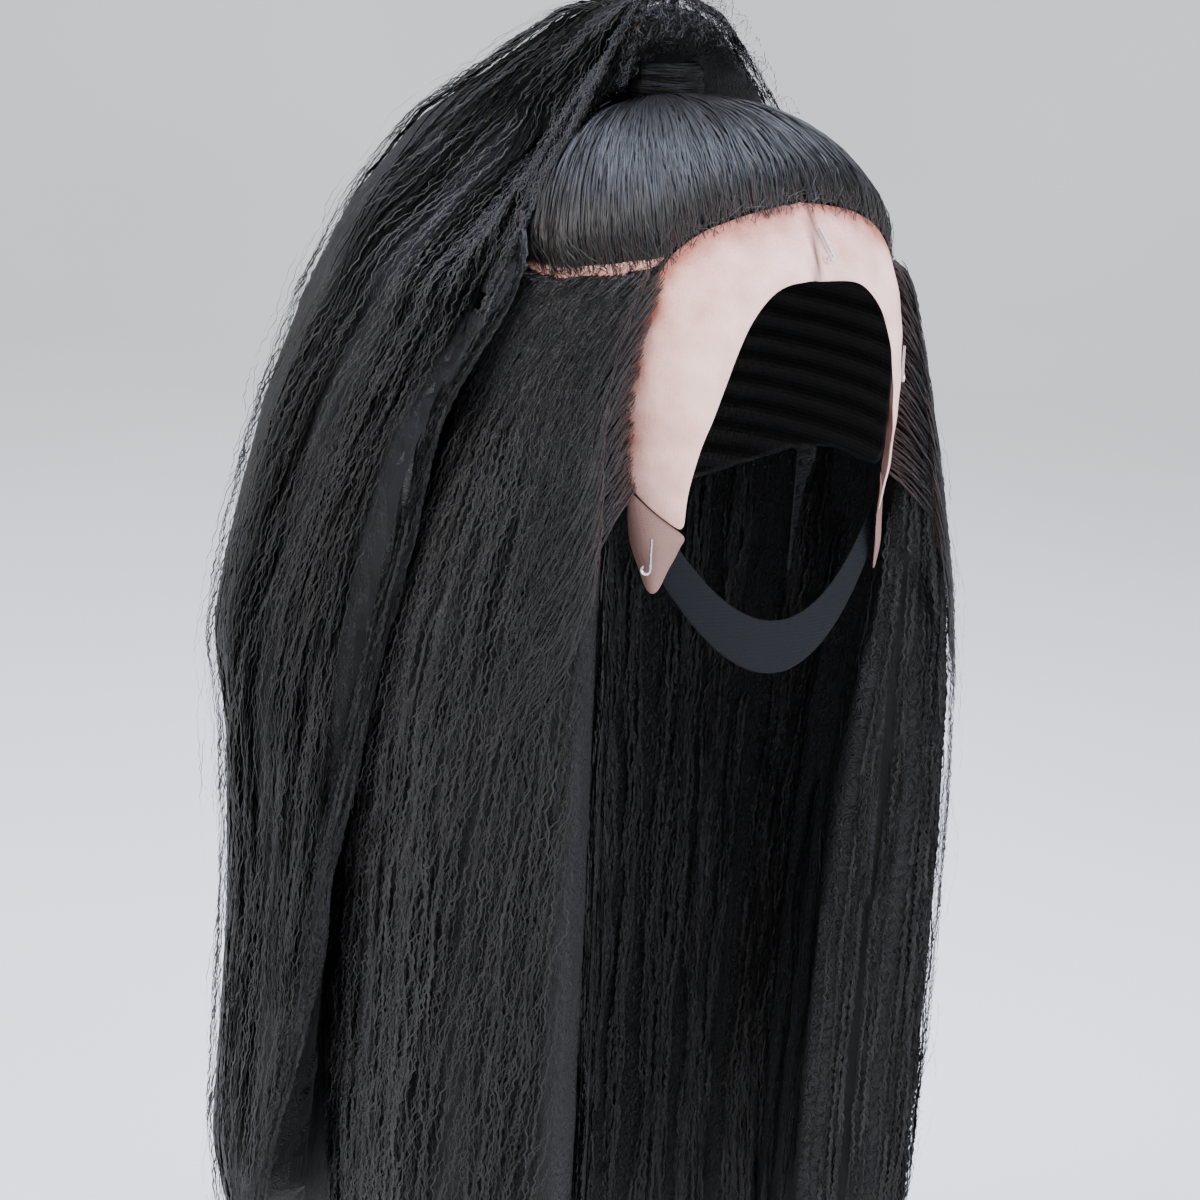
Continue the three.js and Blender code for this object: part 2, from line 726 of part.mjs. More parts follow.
// A seat on the lace at an azimuth and an elevation: a point just off it, the way down
// along it and the way out of it.
function laceSeat(azimuth, elevation) {
  const lift = laceWall + clearance + pinDiameter / 2;
  const step = 3;
  const at = (turn, rise) => headPoint(directionAt(azimuth + turn, elevation + rise), lift);
  const down = at(0, -step).sub(at(0, step)).normalize();
  const side = at(step, 0).sub(at(-step, 0)).normalize();
  return { point: at(0, 0), down, outward: down.clone().cross(side).normalize() };
}

// One straight pin whose lower end bends round into a small open loop, on a seat, turned
// on it by an angle.
function makePin(name, seat, lean) {
  const along = seat.down.clone().applyAxisAngle(seat.outward, lean);
  const side = along.clone().cross(seat.outward);
  const place = (down, across) => (
    seat.point.clone().addScaledVector(along, down).addScaledVector(side, across)
  );
  const line = [-0.5, -0.17, 0.16].map((share) => place(share * pinLength, 0));
  const loopSteps = 8;
  for (let step = 0; step <= loopSteps; step += 1) {
    const turn = (1.35 * Math.PI * step) / loopSteps;
    const down = pinLength / 2 + pinLoopRadius * Math.sin(turn);
    line.push(place(down, pinLoopRadius * (1 - Math.cos(turn))));
  }
  const section = new THREE.Shape();
  section.absarc(0, 0, pinDiameter / 2, 0, 2 * Math.PI);
  const extrudePath = new THREE.CatmullRomCurve3(line);
  const geometry = new THREE.ExtrudeGeometry(section, { steps: 18, curveSegments: 3, extrudePath });
  addPiece(name, geometry, 0xc9ccd0, 0.25, 1);
}

// The pins: one in the middle of the lace, one on the right ear tab, one at the left temple.
function makePins() {
  makePin("lace_pin_middle", laceSeat(2, 35), 0.25);
  makePin("lace_pin_left", laceSeat(44, 3), 0);
  const tab = tabSeat(-1);
  const out = tabFoldRight + laceWall + clearance + pinDiameter / 2;
  const point = tab.middle.clone().addScaledVector(tab.outward, out);
  point.z -= tabSeam + tabLength * 0.45;
  const down = new THREE.Vector3(0, 0, -1).addScaledVector(tab.outward, tab.outward.z).normalize();
  makePin("tab_pin_right", { point, down, outward: tab.outward }, 0);
}

makeCap();
makeLaceFront();
makeEarTab("ear_tab_right", -1, tabFoldRight);
makeEarTab("ear_tab_left", 1, tabFoldLeft);
makeSweptHair();
makeWrap();
makeHangingHair("side_hair_right", -frontShare, -rearStartShare, sideLocks);
makeHangingHair("side_hair_left", frontShare, rearStartShare, sideLocks);
makeHangingHair("back_hair", rearStartShare + seamShare, 2 - rearStartShare - seamShare, rearLocks);
makePonytail();
makeBand();
makePins();

export default wig;
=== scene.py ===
"""Dresses the lace front wig: crimped hair in locks, a swept-up section, a wrapped ponytail,
lace, ear tabs, the cap, the elastic band and the pins, on a pale studio sweep."""

import math

import bpy
import numpy as np
from mathutils import Matrix, Vector
from mathutils.bvhtree import BVHTree
from mathutils.kdtree import KDTree


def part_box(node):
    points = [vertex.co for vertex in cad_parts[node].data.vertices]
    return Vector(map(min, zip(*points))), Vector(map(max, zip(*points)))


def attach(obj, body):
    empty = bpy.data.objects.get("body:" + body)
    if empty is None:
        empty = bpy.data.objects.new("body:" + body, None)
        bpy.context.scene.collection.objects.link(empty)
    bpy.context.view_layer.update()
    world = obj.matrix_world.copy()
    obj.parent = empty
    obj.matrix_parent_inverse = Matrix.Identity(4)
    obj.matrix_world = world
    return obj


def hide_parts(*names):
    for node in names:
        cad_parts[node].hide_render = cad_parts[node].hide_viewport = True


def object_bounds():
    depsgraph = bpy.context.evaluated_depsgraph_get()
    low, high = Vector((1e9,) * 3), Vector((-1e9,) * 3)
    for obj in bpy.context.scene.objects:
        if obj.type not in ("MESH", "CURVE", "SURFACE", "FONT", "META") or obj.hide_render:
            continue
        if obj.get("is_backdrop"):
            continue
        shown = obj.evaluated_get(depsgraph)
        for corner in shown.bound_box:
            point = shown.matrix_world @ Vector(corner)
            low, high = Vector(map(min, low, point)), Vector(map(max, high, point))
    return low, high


bl_info = {
    "name": "Lace front wig",
    "version": (1, 0, 0),
    "blender": (4, 5, 0),
    "location": "3D View > Sidebar > Wig",
    "description": "Dresses a lace front wig with crimped hair, lace and a ponytail",
    "category": "Add Mesh",
}

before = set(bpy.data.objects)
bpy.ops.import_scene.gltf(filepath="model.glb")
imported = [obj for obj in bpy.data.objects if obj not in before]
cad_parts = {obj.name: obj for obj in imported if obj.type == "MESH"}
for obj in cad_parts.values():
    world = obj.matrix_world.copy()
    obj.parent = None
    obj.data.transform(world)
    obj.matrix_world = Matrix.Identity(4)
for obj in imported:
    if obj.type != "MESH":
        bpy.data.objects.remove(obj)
CAD_LOW, CAD_HIGH = (np.array(corner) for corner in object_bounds())

# The middle of the head's widest level, in metres
HEAD_CENTRE = np.array([0.0, 0.006, -0.100])

# The hair body that each set of locks stands for, its share of the way round from the
# wearer's right front edge (0) past the back (0.5) to the left front edge (1), how many
# triangles its locks take, how many fine loose hairs lie over them, how far both slant
# across the grid, and how the locks are shared between its outer face, its inner face and
# its front edge
HANGING_PIECES = {
    "right": {
        "node": "side_hair_right",
        "span": (0.0, 0.31),
        "triangles": 75000,
        "fine": 1150,
        "slant": 0.035,
        "fine_slant": 0.02,
        "zones": {"out": 0.6, "in": 0.08, "edge": 0.32},
    },
    "back": {
        "node": "back_hair",
        "span": (0.28, 0.72),
        "triangles": 52000,
        "fine": 250,
        "slant": 0.0,
        "fine_slant": 0.0,
        "zones": {"out": 0.3, "in": 0.7},
    },
    "left": {
        "node": "side_hair_left",
        "span": (0.69, 1.0),
        "triangles": 84000,
        "fine": 600,
        "slant": -0.03,
        "fine_slant": -0.02,
        "zones": {"out": 0.25, "in": 0.27, "edge": 0.48},
    },
}

# What the locks and the fine loose hairs share on every body. The strands of a lock lie in
# layers down to a depth, on the outer face (mix 0) or the inner one (mix 1)
LOCK = {"mix": 0.0, "count": 9, "layers": 0.0035, "stretch": 1.0}
FINE_HAIRS = {"length": (0.1, 0.2), "steps": 30, "width": 1.0}

# The azimuths, in degrees, over which the ponytail takes more locks at its front edge: the
# crowding grows up to the second and fades after the third. Locks past the first hang straight
FRONT_EDGE = (-126.0, -118.0, -98.0, -92.0)

# How far painted strands bend from side to side, how deep they stand in relief on locks and
# on the cores under them, and how far those cores lie inside the solids, all in metres
PAINTED_CRIMP = 0.0006
STRAND_RELIEF = 0.0011
CORE_RELIEF = 0.0032
CORE_INSET = 0.004
CORE_GRAIN = 0.007

# The scale of a wave texture whose ridges stand a metre apart
METRE_WAVE = 0.314

CAMERA_AZIMUTH = math.radians(-33)

# The rows of the swept-up hair's grid, and the one that lies on its edge
SWEPT_ROWS = 40
SWEPT_EDGE_ROW = 6


def length_setting(name, description, default):
    """A setting that holds a length in metres."""
    return bpy.props.FloatProperty(
        name=name, description=description, default=default, unit="LENGTH"
    )


def colour_setting(name, description, default):
    """A setting that holds a colour as sRGB hex."""
    return bpy.props.StringProperty(
        name=name, description=f"sRGB hex of {description}", default=default
    )


class WigHairSettings(bpy.types.PropertyGroup):
    """Sizes and colours of the hair"""

    strand_width: length_setting("Strand width", "Width of one crimped ribbon of hair", 0.0014)
    half_wave: length_setting(
        "Half wave", "Length of hair from one bend of the crimp to the next", 0.0027
    )
    crimp_depth: length_setting(
        "Crimp depth", "How far each bend of the crimp stands out of the strand's line", 0.0005
    )
    fine_width: length_setting(
        "Fine strand width", "Width of one straight strand of the swept-up section", 0.00055
    )
    black: colour_setting("Black hair", "the darkest strands", "#080708")
    brown: colour_setting("Brown hair", "the strands that catch warm light", "#1b1614")
    root: colour_setting("Hair roots", "the roots at the hairline", "#3a2420")


class WigClothSettings(bpy.types.PropertyGroup):
    """Sizes and colours of the lace, the cap and the band"""

    net_pitch: length_setting("Net pitch", "Spacing of the lace net's holes", 0.0011)
    rib_pitch: length_setting("Rib pitch", "Spacing of the elastic band's ribs", 0.0016)
    weft_pitch: length_setting(
        "Weft pitch", "Spacing of the rows of weft sewn inside the cap", 0.011
    )
    lace: colour_setting("Lace", "the lace", "#fdcfc3")
    lace_root: colour_setting("Lace at the hairline", "the lace among the roots", "#a5604f")
    tab: colour_setting("Ear tab", "the lace where dark hair shows through it", "#7d6058")
    band: colour_setting("Elastic band", "the elastic band", "#060a10")


def linear(text):
    """An sRGB hex colour as linear RGBA."""
    parts = [int(text[index : index + 2], 16) / 255 for index in (1, 3, 5)]
    turned = [part / 12.92 if part <= 0.04045 else ((part + 0.055) / 1.055) ** 2.4 for part in parts]
    return (*turned, 1.0)


def feed(tree, node, **inputs):
    """Feeds a node's inputs with sockets or plain values. An underscore in a name stands
    for a space, and i0, i1 and so on count the inputs."""
    for name, value in inputs.items():
        key = int(name[1:]) if name[0] == "i" and name[1:].isdigit() else name.replace("_", " ")
        if isinstance(value, bpy.types.NodeSocket):
            tree.links.new(value, node.inputs[key])
        else:
            node.inputs[key].default_value = value


def add_node(tree, kind, settings=None, **inputs):
    """Adds a node with its settings, and feeds its inputs."""
    made = tree.nodes.new(kind)
    for name, value in (settings or {}).items():
        setattr(made, name, value)
    feed(tree, made, **inputs)
    return made


def new_material(name):
    """An empty node material, with its tree and its shader."""
    material = bpy.data.materials.new(name)
    material.use_nodes = True
    tree = material.node_tree
    shader = tree.nodes["Principled BSDF"]
    return material, tree, shader


def colour_ramp(tree, factor, stops):
    """A colour ramp from (place, linear colour) stops."""
    ramp = add_node(tree, "ShaderNodeValToRGB", Fac=factor)
    elements = ramp.color_ramp.elements
    while len(elements) < len(stops):
        elements.new(0.5)
    for element, (place, colour) in zip(elements, stops):
        element.position = place
        element.color = colour
    return ramp.outputs["Color"]


def math_node(tree, operation, *values):
    """The result of a math node on sockets or plain values."""
    inputs = {f"i{index}": value for index, value in enumerate(values)}
    return add_node(tree, "ShaderNodeMath", {"operation": operation}, **inputs).outputs["Value"]


def mixed(tree, share, first, second, blend="MIX"):
    """Two colours mixed by a share of the second."""
    settings = {"data_type": "RGBA", "blend_type": blend}
    return add_node(tree, "ShaderNodeMix", settings, i0=share, i6=first, i7=second).outputs[2]


def attribute(tree, name, output="Fac"):
    """What a mesh says at each of its points under a name."""
    return add_node(tree, "ShaderNodeAttribute", {"attribute_name": name}).outputs[output]


def object_place(tree):
    """The place of each point in its object."""
    return add_node(tree, "ShaderNodeTexCoord").outputs["Object"]


def noise(tree, place, scale, detail):
    """Noise between 0 and 1."""
    made = add_node(tree, "ShaderNodeTexNoise", Vector=place, Scale=scale, Detail=detail)
    return made.outputs["Fac"]


def cells(tree, place, scale, randomness):
    """How far each place lies from the middle of its cell."""
    made = add_node(
        tree, "ShaderNodeTexVoronoi", Vector=place, Scale=scale, Randomness=randomness
    )
    return made.outputs["Distance"]


def ridges(tree, place, pitch, **inputs):
    """Level ridges at a pitch in metres, as heights between 0 and 1."""
    settings = {"bands_direction": "Z", "wave_profile": "SIN"}
    scale = METRE_WAVE / pitch
    made = add_node(tree, "ShaderNodeTexWave", settings, Vector=place, Scale=scale, **inputs)
    return made.outputs["Fac"]


def set_relief(tree, shader, height, strength, depth):
    """Gives a surface relief of a depth in metres."""
    bump = add_node(tree, "ShaderNodeBump", Height=height, Strength=strength, Distance=depth)
    feed(tree, shader, Normal=bump.outputs["Normal"])


def new_object(name, mesh):
    """An object in the scene that shows a mesh."""
    piece = bpy.data.objects.new(name, mesh)
    bpy.context.scene.collection.objects.link(piece)
    return piece


def write_attribute(mesh, name, values):
    """Writes one number or one vector for each point of a mesh."""
    values = np.asarray(values, dtype=np.float32)
    kind, key = ("FLOAT", "value") if values.ndim == 1 else ("FLOAT_VECTOR", "vector")
    mesh.attributes.new(name, kind, "POINT").data.foreach_set(key, values.reshape(-1))


def mesh_points(mesh):
    """The points of a mesh as an array."""
    corners = np.empty(len(mesh.vertices) * 3)
    mesh.vertices.foreach_get("co", corners)
    return corners.reshape(-1, 3)


def finish_piece(piece, *nodes, slot):
    """Lets a new piece ride on the wig and stand for its CAD nodes, which it hides. Its slot is not
    used.
    """
    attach(piece, "root")
    if nodes:
        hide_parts(*nodes)
    return piece


def cad_surface(*names):
    """The surfaces of CAD nodes, to be probed by rays."""
    corners = []
    faces = []
    for name in names:
        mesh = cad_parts[name].data
        start = len(corners)
        corners += [vertex.co.copy() for vertex in mesh.vertices]
        faces += [[start + index for index in face.vertices] for face in mesh.polygons]
    return BVHTree.FromPolygons(corners, faces)


def probe(surface, origin, direction, reach):
    """The first point of a surface that a ray meets, or None."""
    hit = surface.ray_cast(Vector(origin), Vector(direction), reach)[0]
    return None if hit is None else np.array(hit)


def probe_in(surface, centre, direction, reach):
    """The first point of a surface met on the way in to a centre from a reach away."""
    return probe(surface, centre + direction * reach, -direction, reach)


def axis_at(height):
    """The point of the head's upright axis at a height."""
    return np.array([0.0, HEAD_CENTRE[1], height])


def level_direction(azimuth):
    """The level direction at an azimuth from the face, in degrees, positive to the left."""
    turn = math.radians(azimuth)
    return np.array([math.sin(turn), -math.cos(turn), 0.0])


def fill_gaps(rows):
    """Replaces the missing points of a list by the nearest ones that were met."""
    met = [index for index, point in enumerate(rows) if point is not None]
    return [rows[min(met, key=lambda other: abs(other - index))] for index in range(len(rows))]


def bridged(line, widest):
    """The points of a line that were met, up to the first gap that is too wide to bridge."""
    met = [point for point in line if point is not None]
    steps = np.linalg.norm(np.diff(np.array(met), axis=0), axis=1)
    wide = np.flatnonzero(steps > widest)
    return met[: wide[0] + 1] if len(wide) else met


def resample(points, count):
    """Even steps along a line of points."""
    points = np.array(points)
    steps = np.linalg.norm(np.diff(points, axis=0), axis=1)
    places = np.concatenate([[0.0], np.cumsum(steps)])
    wanted = np.linspace(0, places[-1], count)
    return np.stack([np.interp(wanted, places, points[:, axis]) for axis in range(3)], axis=1)


def smooth_rows(grid, rounds, closed):
    """Evens a grid across its columns, so that the locks of the solids show only faintly."""
    for _ in range(rounds):
        if closed:
            before, after = np.roll(grid, 1, axis=0), np.roll(grid, -1, axis=0)
            grid = (before + 2 * grid + after) / 4
        else:
            inner = (grid[:-2] + 2 * grid[1:-1] + grid[2:]) / 4
            grid = np.concatenate([grid[:1], inner, grid[-1:]])
    return grid


def on_grid(grid, across, down):
    """The points of a grid at shares across and down it."""
    columns, rows = grid.shape[0] - 1, grid.shape[1] - 1
    x = np.clip(across, 0, 1) * columns
    y = np.clip(down, 0, 1) * rows
    column = np.minimum(x.astype(int), columns - 1)
    row = np.minimum(y.astype(int), rows - 1)
    right = (x - column)[..., None]
    low = (y - row)[..., None]
    upper = grid[column, row] * (1 - right) + grid[column + 1, row] * right
    lower = grid[column, row + 1] * (1 - right) + grid[column + 1, row + 1] * right
    return upper * (1 - low) + lower * low


def hanging_grids():
    """Outer and inner points of the hanging hair, from the right front edge to the left."""
    surface = cad_surface("side_hair_right", "back_hair", "side_hair_left")
    low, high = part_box("side_hair_right")
    heights = np.linspace(high.z - 0.002, low.z + 0.006, 90)
    columns = 140
    reach = 0.5
    outer = [[] for _ in range(columns + 1)]
    inner = [[] for _ in range(columns + 1)]
    for height in heights:
        axis = axis_at(height)
        edges = {}
        for side in (-1, 1):
            met = [
                angle
                for angle in np.arange(44.0, 70.0, 0.5)
                if probe(surface, axis, level_direction(side * angle), reach) is not None
            ]
            edges[side] = met[0] + 0.3
        for column in range(columns + 1):
            share = 2 * column / columns - 1
            side = -1 if share < 0 else 1
            azimuth = side * (180 - abs(share) * (180 - edges[side]))
            direction = level_direction(azimuth)
            outer[column].append(probe_in(surface, axis, direction, reach))
            inner[column].append(probe(surface, axis, direction, reach))
    outer_grid = np.array([fill_gaps(rows) for rows in outer])
    inner_grid = np.array([fill_gaps(rows) for rows in inner])
    return smooth_rows(outer_grid, 4, False), smooth_rows(inner_grid, 2, False)


def ponytail_grids():
    """Outer and inner points of the ponytail, right round from the back, from wrap to tip,
    and the azimuth of each column. The columns stand evenly apart along the surface."""
    surface = cad_surface("ponytail")
    low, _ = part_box("ponytail")
    wrap_low, wrap_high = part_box("ponytail_wrap")
    tie_y = (wrap_low.y + wrap_high.y) / 2
    tie = np.array([0.0, tie_y, wrap_high.z + 0.002])
    reach = 0.6
    azimuths = np.linspace(-180, 180, 241)
    rows = 90
    outer = []
    inner = []
    for azimuth in azimuths:
        level = level_direction(azimuth)
        line = []
        for elevation in np.arange(88.0, 0.0, -4.0):
            rise = math.radians(elevation)
            direction = level * math.cos(rise) + np.array([0, 0, math.sin(rise)])
            line.append(probe_in(surface, tie, direction, reach))
        for height in np.arange(tie[2], low.z, -0.005):
            share = min(max(-height / 0.08, 0.0), 1.0)
            centre_y = tie_y + (HEAD_CENTRE[1] - tie_y) * share
            axis = np.array([0.0, centre_y, height])
            line.append(probe(surface, axis + level * reach, -level, reach - 0.012))
        line = bridged(line, 0.07)
        outer.append(resample(line, rows))
        middle = []
        for point in outer[-1]:
            level_out = point - axis_at(point[2])
            span = np.linalg.norm(level_out)
            hit = probe(surface, axis_at(point[2]), level_out / span, span - 0.002)
            middle.append(point - level_out / span * 0.03 if hit is None else hit)
        inner.append(middle)
    outer = smooth_rows(np.array(outer), 3, True)
    steps = np.linalg.norm(np.diff(outer[:, 30:70], axis=0), axis=2).mean(axis=1)
    girth = np.concatenate([[0.0], np.cumsum(steps)])
    even = np.interp(np.linspace(0, girth[-1], 161), girth, np.linspace(0, 1, len(girth)))
    across = even[:, None].repeat(rows, 1)
    down = np.linspace(0, 1, rows)[None].repeat(len(even), 0)
    azimuths = np.interp(even, np.linspace(0, 1, len(girth)), azimuths)
    return on_grid(outer, across, down), on_grid(np.array(inner), across, down), azimuths


def ponytail_edge(side):
    """Points on the upright front face of the ponytail at one side, from its outer corner
    to its inner corner and down it, and the same points moved back into the ponytail."""
    surface = cad_surface("ponytail")
    low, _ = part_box("ponytail")
    reach = 0.5
    levels = np.linspace(-0.035, low.z + 0.01, 80)
    corners = []
    for height in levels:
        axis = axis_at(height)
        met = [
            azimuth
            for azimuth in np.arange(72.0, 175.0, 1.0)
            if probe(surface, axis, level_direction(side * azimuth), reach) is not None
        ]
        if not met:
            continue
        direction = level_direction(side * (met[0] + 0.3))
        far = probe_in(surface, axis, direction, reach)
        near = probe(surface, axis, direction, reach)
        if far is not None and near is not None:
            back = level_direction(side * (met[0] + 90.0))
            corners.append((far, near, back))
    corners = smooth_rows(np.array(corners), 6, False)
    share = np.linspace(0, 1, 9)[:, None, None]
    face = corners[None, :, 0] * (1 - share) + corners[None, :, 1] * share
    return face, face + 0.02 * corners[None, :, 2]


def swept_grid():
    """Points of the swept-up hair right round, from just outside its edge to the tie. The
    step at the edge of the solid is eased into a slope that rises from the lace."""
    surface = cad_surface("swept_hair")
    around = cad_surface("swept_hair", "lace_front", "cap")
    wrap_low, wrap_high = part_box("ponytail_wrap")
    tie = np.array([0.0, (wrap_low.y + wrap_high.y) / 2, wrap_low.z + 0.004])
    pole = Vector(tie - HEAD_CENTRE).normalized()
    front = Vector((0, -1, 0)) - pole * Vector((0, -1, 0)).dot(pole)
    front.normalize()
    left = Vector((1, 0, 0))
    columns = 180

    def meet(solid, heading, angle):
        """The outermost point of a solid at an angle from the pole."""
        rise = math.radians(angle)
        direction = np.array(pole * math.cos(rise) + heading * math.sin(rise))
        return probe_in(solid, HEAD_CENTRE, direction, 0.4)

    lines = []
    for column in range(columns + 1):
        turn = 2 * math.pi * column / columns
        heading = front * math.cos(turn) + left * math.sin(turn)
        edge = 10.0
        for angle in np.arange(10.0, 130.0, 0.5):
            if meet(surface, heading, angle) is None:
                break
            edge = angle
        outside = np.linspace(edge + 6.0, edge, SWEPT_EDGE_ROW + 1)[:-1]
        inside = np.linspace(edge, 6.0, SWEPT_ROWS - SWEPT_EDGE_ROW)
        lines.append(fill_gaps([meet(around, heading, angle) for angle in [*outside, *inside]]))
    grid = smooth_rows(np.array(lines), 1, True)
    low_row = SWEPT_EDGE_ROW - 1
    high_row = SWEPT_EDGE_ROW + 5
    reaches = np.linalg.norm(grid - HEAD_CENTRE, axis=2)
    share = (np.arange(low_row, high_row + 1) - low_row) / (high_row - low_row)
    share = gentle(share)[None]
    eased = reaches[:, low_row, None] * (1 - share) + reaches[:, high_row, None] * share
    reaches[:, low_row : high_row + 1] = np.minimum(eased, reaches[:, low_row : high_row + 1])
    return HEAD_CENTRE + unit(grid - HEAD_CENTRE) * reaches[..., None]


def sink_under(piece, grid, depth):
    """Lowers the points of a body that stand above a grid to a depth under it."""
    columns, rows = grid.shape[:2]
    corners = [Vector(place) for place in grid.reshape(-1, 3)]
    faces = [
        (c * rows + r, c * rows + r + 1, (c + 1) * rows + r + 1, (c + 1) * rows + r)
        for c in range(columns - 1)
        for r in range(rows - 1)
    ]
    surface = BVHTree.FromPolygons(corners, faces)
    for vertex in piece.data.vertices:
        place, normal, _, _ = surface.find_nearest(vertex.co)
        if normal.dot(place - Vector(HEAD_CENTRE)) < 0:
            normal = -normal
        if (vertex.co - place).dot(normal) > -depth:
            vertex.co = place - normal * depth


def waves(rng, places, scale, count=3):
    """A smooth random line of about unit height, one for each row of places."""
    total = np.zeros_like(places)
    for octave in range(count):
        pace = scale * (octave + 1) * rng.uniform(0.7, 1.3, places.shape[:-1] + (1,))
        phase = rng.uniform(0, 2 * math.pi, places.shape[:-1] + (1,))
        total += np.sin(places * pace + phase) / (octave + 1)
    return total / 1.5


def unit(vectors):
    """Vectors at length one."""
    return vectors / np.maximum(np.linalg.norm(vectors, axis=-1, keepdims=True), 1e-9)


def gentle(share):
    """A share from 0 to 1 that starts and ends gently."""
    return share * share * (3 - 2 * share)


def even_runs(count, steps):
    """Even shares from 0 to 1 along each of a number of strands."""
    return np.linspace(0, 1, steps)[None].repeat(count, 0)


def zigzag(steps):
    """The turns of a crimp, to one side and the other."""
    return np.where(np.arange(steps) % 2 == 0, 1.0, -1.0)[None]


def lay_strands(rng, points, outward, width, half_turn, taper):
    """Turns centre lines into flat ribbons: (strand, step, side, xyz)."""
    along = unit(np.gradient(points, axis=1))
    side = unit(np.cross(along, outward))
    facing = np.cross(side, along)
    twist = half_turn * waves(rng, even_runs(*points.shape[:2]), 9.0)
    side = side * np.cos(twist)[..., None] + facing * np.sin(twist)[..., None]
    half = (width * taper / 2)[..., None]
    return np.stack([points - side * half, points + side * half], axis=2)


def crimped_lock(rng, outer, inner, lock, hair):
    """The ribbons of one lock of crimped hair. A lock states its centre across the grids,
    how deep it lies between them, the face it shows, where it starts and ends, how far it
    slants, its strand count and the depth of its layers."""
    count = lock["count"]
    spine = on_grid(outer, np.full(24, lock["centre"]), np.linspace(lock["start"], lock["end"], 24))
    length = np.linalg.norm(np.diff(spine, axis=0), axis=1).sum()
    steps = max(int(length / (hair.half_wave * lock["stretch"])), 6)
    even = even_runs(count, steps + 1)
    pace = 1 + 0.45 * waves(rng, even, 20.0, 2)
    run = np.cumsum(pace, axis=1)
    run = (run - run[:, :1]) / (run[:, -1:] - run[:, :1])
    ends = np.clip(rng.normal(1, 0.04, (count, 1)), 0.84, 1.07)
    down = lock["start"] + (lock["end"] - lock["start"]) * run * ends
    place = rng.uniform(-1, 1, (count, 1))
    pinch = 1 - 0.4 * np.clip(down, 0, 1) ** 2
    wander = 0.45 * waves(rng, even[:1], 7.0) + 0.35 * waves(rng, even, 14.0, 3)
    slant = lock["slant"] * (1 - (1 - run) ** 2) * (lock["end"] - lock["start"])
    across = lock["centre"] + slant + lock["half_width"] * (place * pinch + wander)
    if lock["round"]:
        across = across % 1.0
    outside = on_grid(outer, across, down)
    inside = on_grid(inner, across, down)
    outward = unit(outside - inside)
    points = outside + (inside - outside) * lock["mix"]
    facing = -outward if lock["face"] == "in" else outward
    if lock["face"] == "edge":
        inland = 0.03 if lock["centre"] < 0.5 else -0.03
        facing = unit(outside - on_grid(outer, across + inland, down))
    frizz = 0.0011 * waves(rng, even, length / 0.012, 3)
    swell = 0.0011 * waves(rng, even[:1], 9.0)
    rise = np.clip(run / 0.08, 0, 1)
    sink = lock["sink"] * (1 - gentle(rise))
    depth = rng.uniform(0, lock["layers"], (count, 1)) + 0.002 * place**2 + swell + frizz + sink
    points = points - facing * depth[..., None]
    points[..., 2] -= np.clip(down - 1, 0, 1) * 0.3
    along = unit(np.gradient(points, axis=1))
    side = unit(np.cross(along, facing))
    bend = zigzag(steps + 1) * rng.uniform(0.3, 1.3, (count, steps + 1)) * np.clip(run / 0.03, 0.2, 1)
    bend = bend * rng.uniform(0.6, 1.3, (count, 1)) * hair.crimp_depth
    drift = 0.0008 * waves(rng, even, length / 0.015, 3)
    points = points + side * (bend + drift)[..., None] + facing * (0.45 * bend)[..., None]
    tip = np.clip((1 - run) / 0.07, 0.12, 1)
    root = np.clip(run / 0.02, 0.3, 1)
    width = hair.strand_width * rng.uniform(0.5, 1.3, (count, 1))
    return lay_strands(rng, points, facing, width, 0.4, tip * root)


def fill_with_locks(rng, outer, inner, triangles, plan, hair):
    """Locks until their ribbons take a number of triangles. The plan gives each lock."""
    bundles = []
    spent = 0
    while spent < triangles:
        lock = plan(len(bundles))
        ribbons = crimped_lock(rng, outer, inner, lock, hair)
        spent += 2 * ribbons.shape[0] * (ribbons.shape[1] - 1)
        bundles.append((ribbons, 0.03 if lock["start"] == 0.0 else 0.0))
    return bundles


def loose_hairs(rng, outer, patch, hair):
    """Fine short hairs on the outer face of a body. A patch states how many there are and
    their steps, the span of the grid and the rows they start in, their slant, their length
    as a share of the way down, how high they arch, how wide they are beside a straight
    strand, and whether the grid runs right round."""
    count = patch["count"]
    steps = patch["steps"]
    run = even_runs(count, steps)
    start = rng.uniform(*patch["rows"], (count, 1))
    lean = rng.normal(patch["slant"], 0.006, (count, 1))
    across = rng.uniform(*patch["span"], (count, 1)) + lean * run
    across = across + 0.004 * waves(rng, run, 5.0, 2)
    down = start + rng.uniform(*patch["length"], (count, 1)) * run
    across = across % 1.0 if patch["round"] else np.clip(across, 0.0, 1.0)
    points = on_grid(outer, across, down)
    middle = outer.mean(axis=0)
    outward = unit(points - on_grid(middle[None].repeat(2, 0), np.zeros_like(down), down))
    arch = rng.uniform(0.2, 1, (count, 1)) * patch["arch"]
    lift = arch * np.sin(math.pi * run) ** 0.8 - 0.001
    along = unit(np.gradient(points, axis=1))
    side = unit(np.cross(along, outward))
    bend = zigzag(steps) * rng.uniform(0.2, 1.2, (count, steps)) * hair.crimp_depth
    drift = 0.001 * waves(rng, run, 14.0, 3)
    points = points + outward * (lift + 0.8 * bend)[..., None] + side * (bend + drift)[..., None]
    taper = np.clip(np.minimum(run, 1 - run) / 0.25, 0.15, 1)
    width = hair.fine_width * rng.uniform(0.6, 1.5, (count, 1)) * patch["width"]
    return lay_strands(rng, points, outward, width, 0.5, taper)


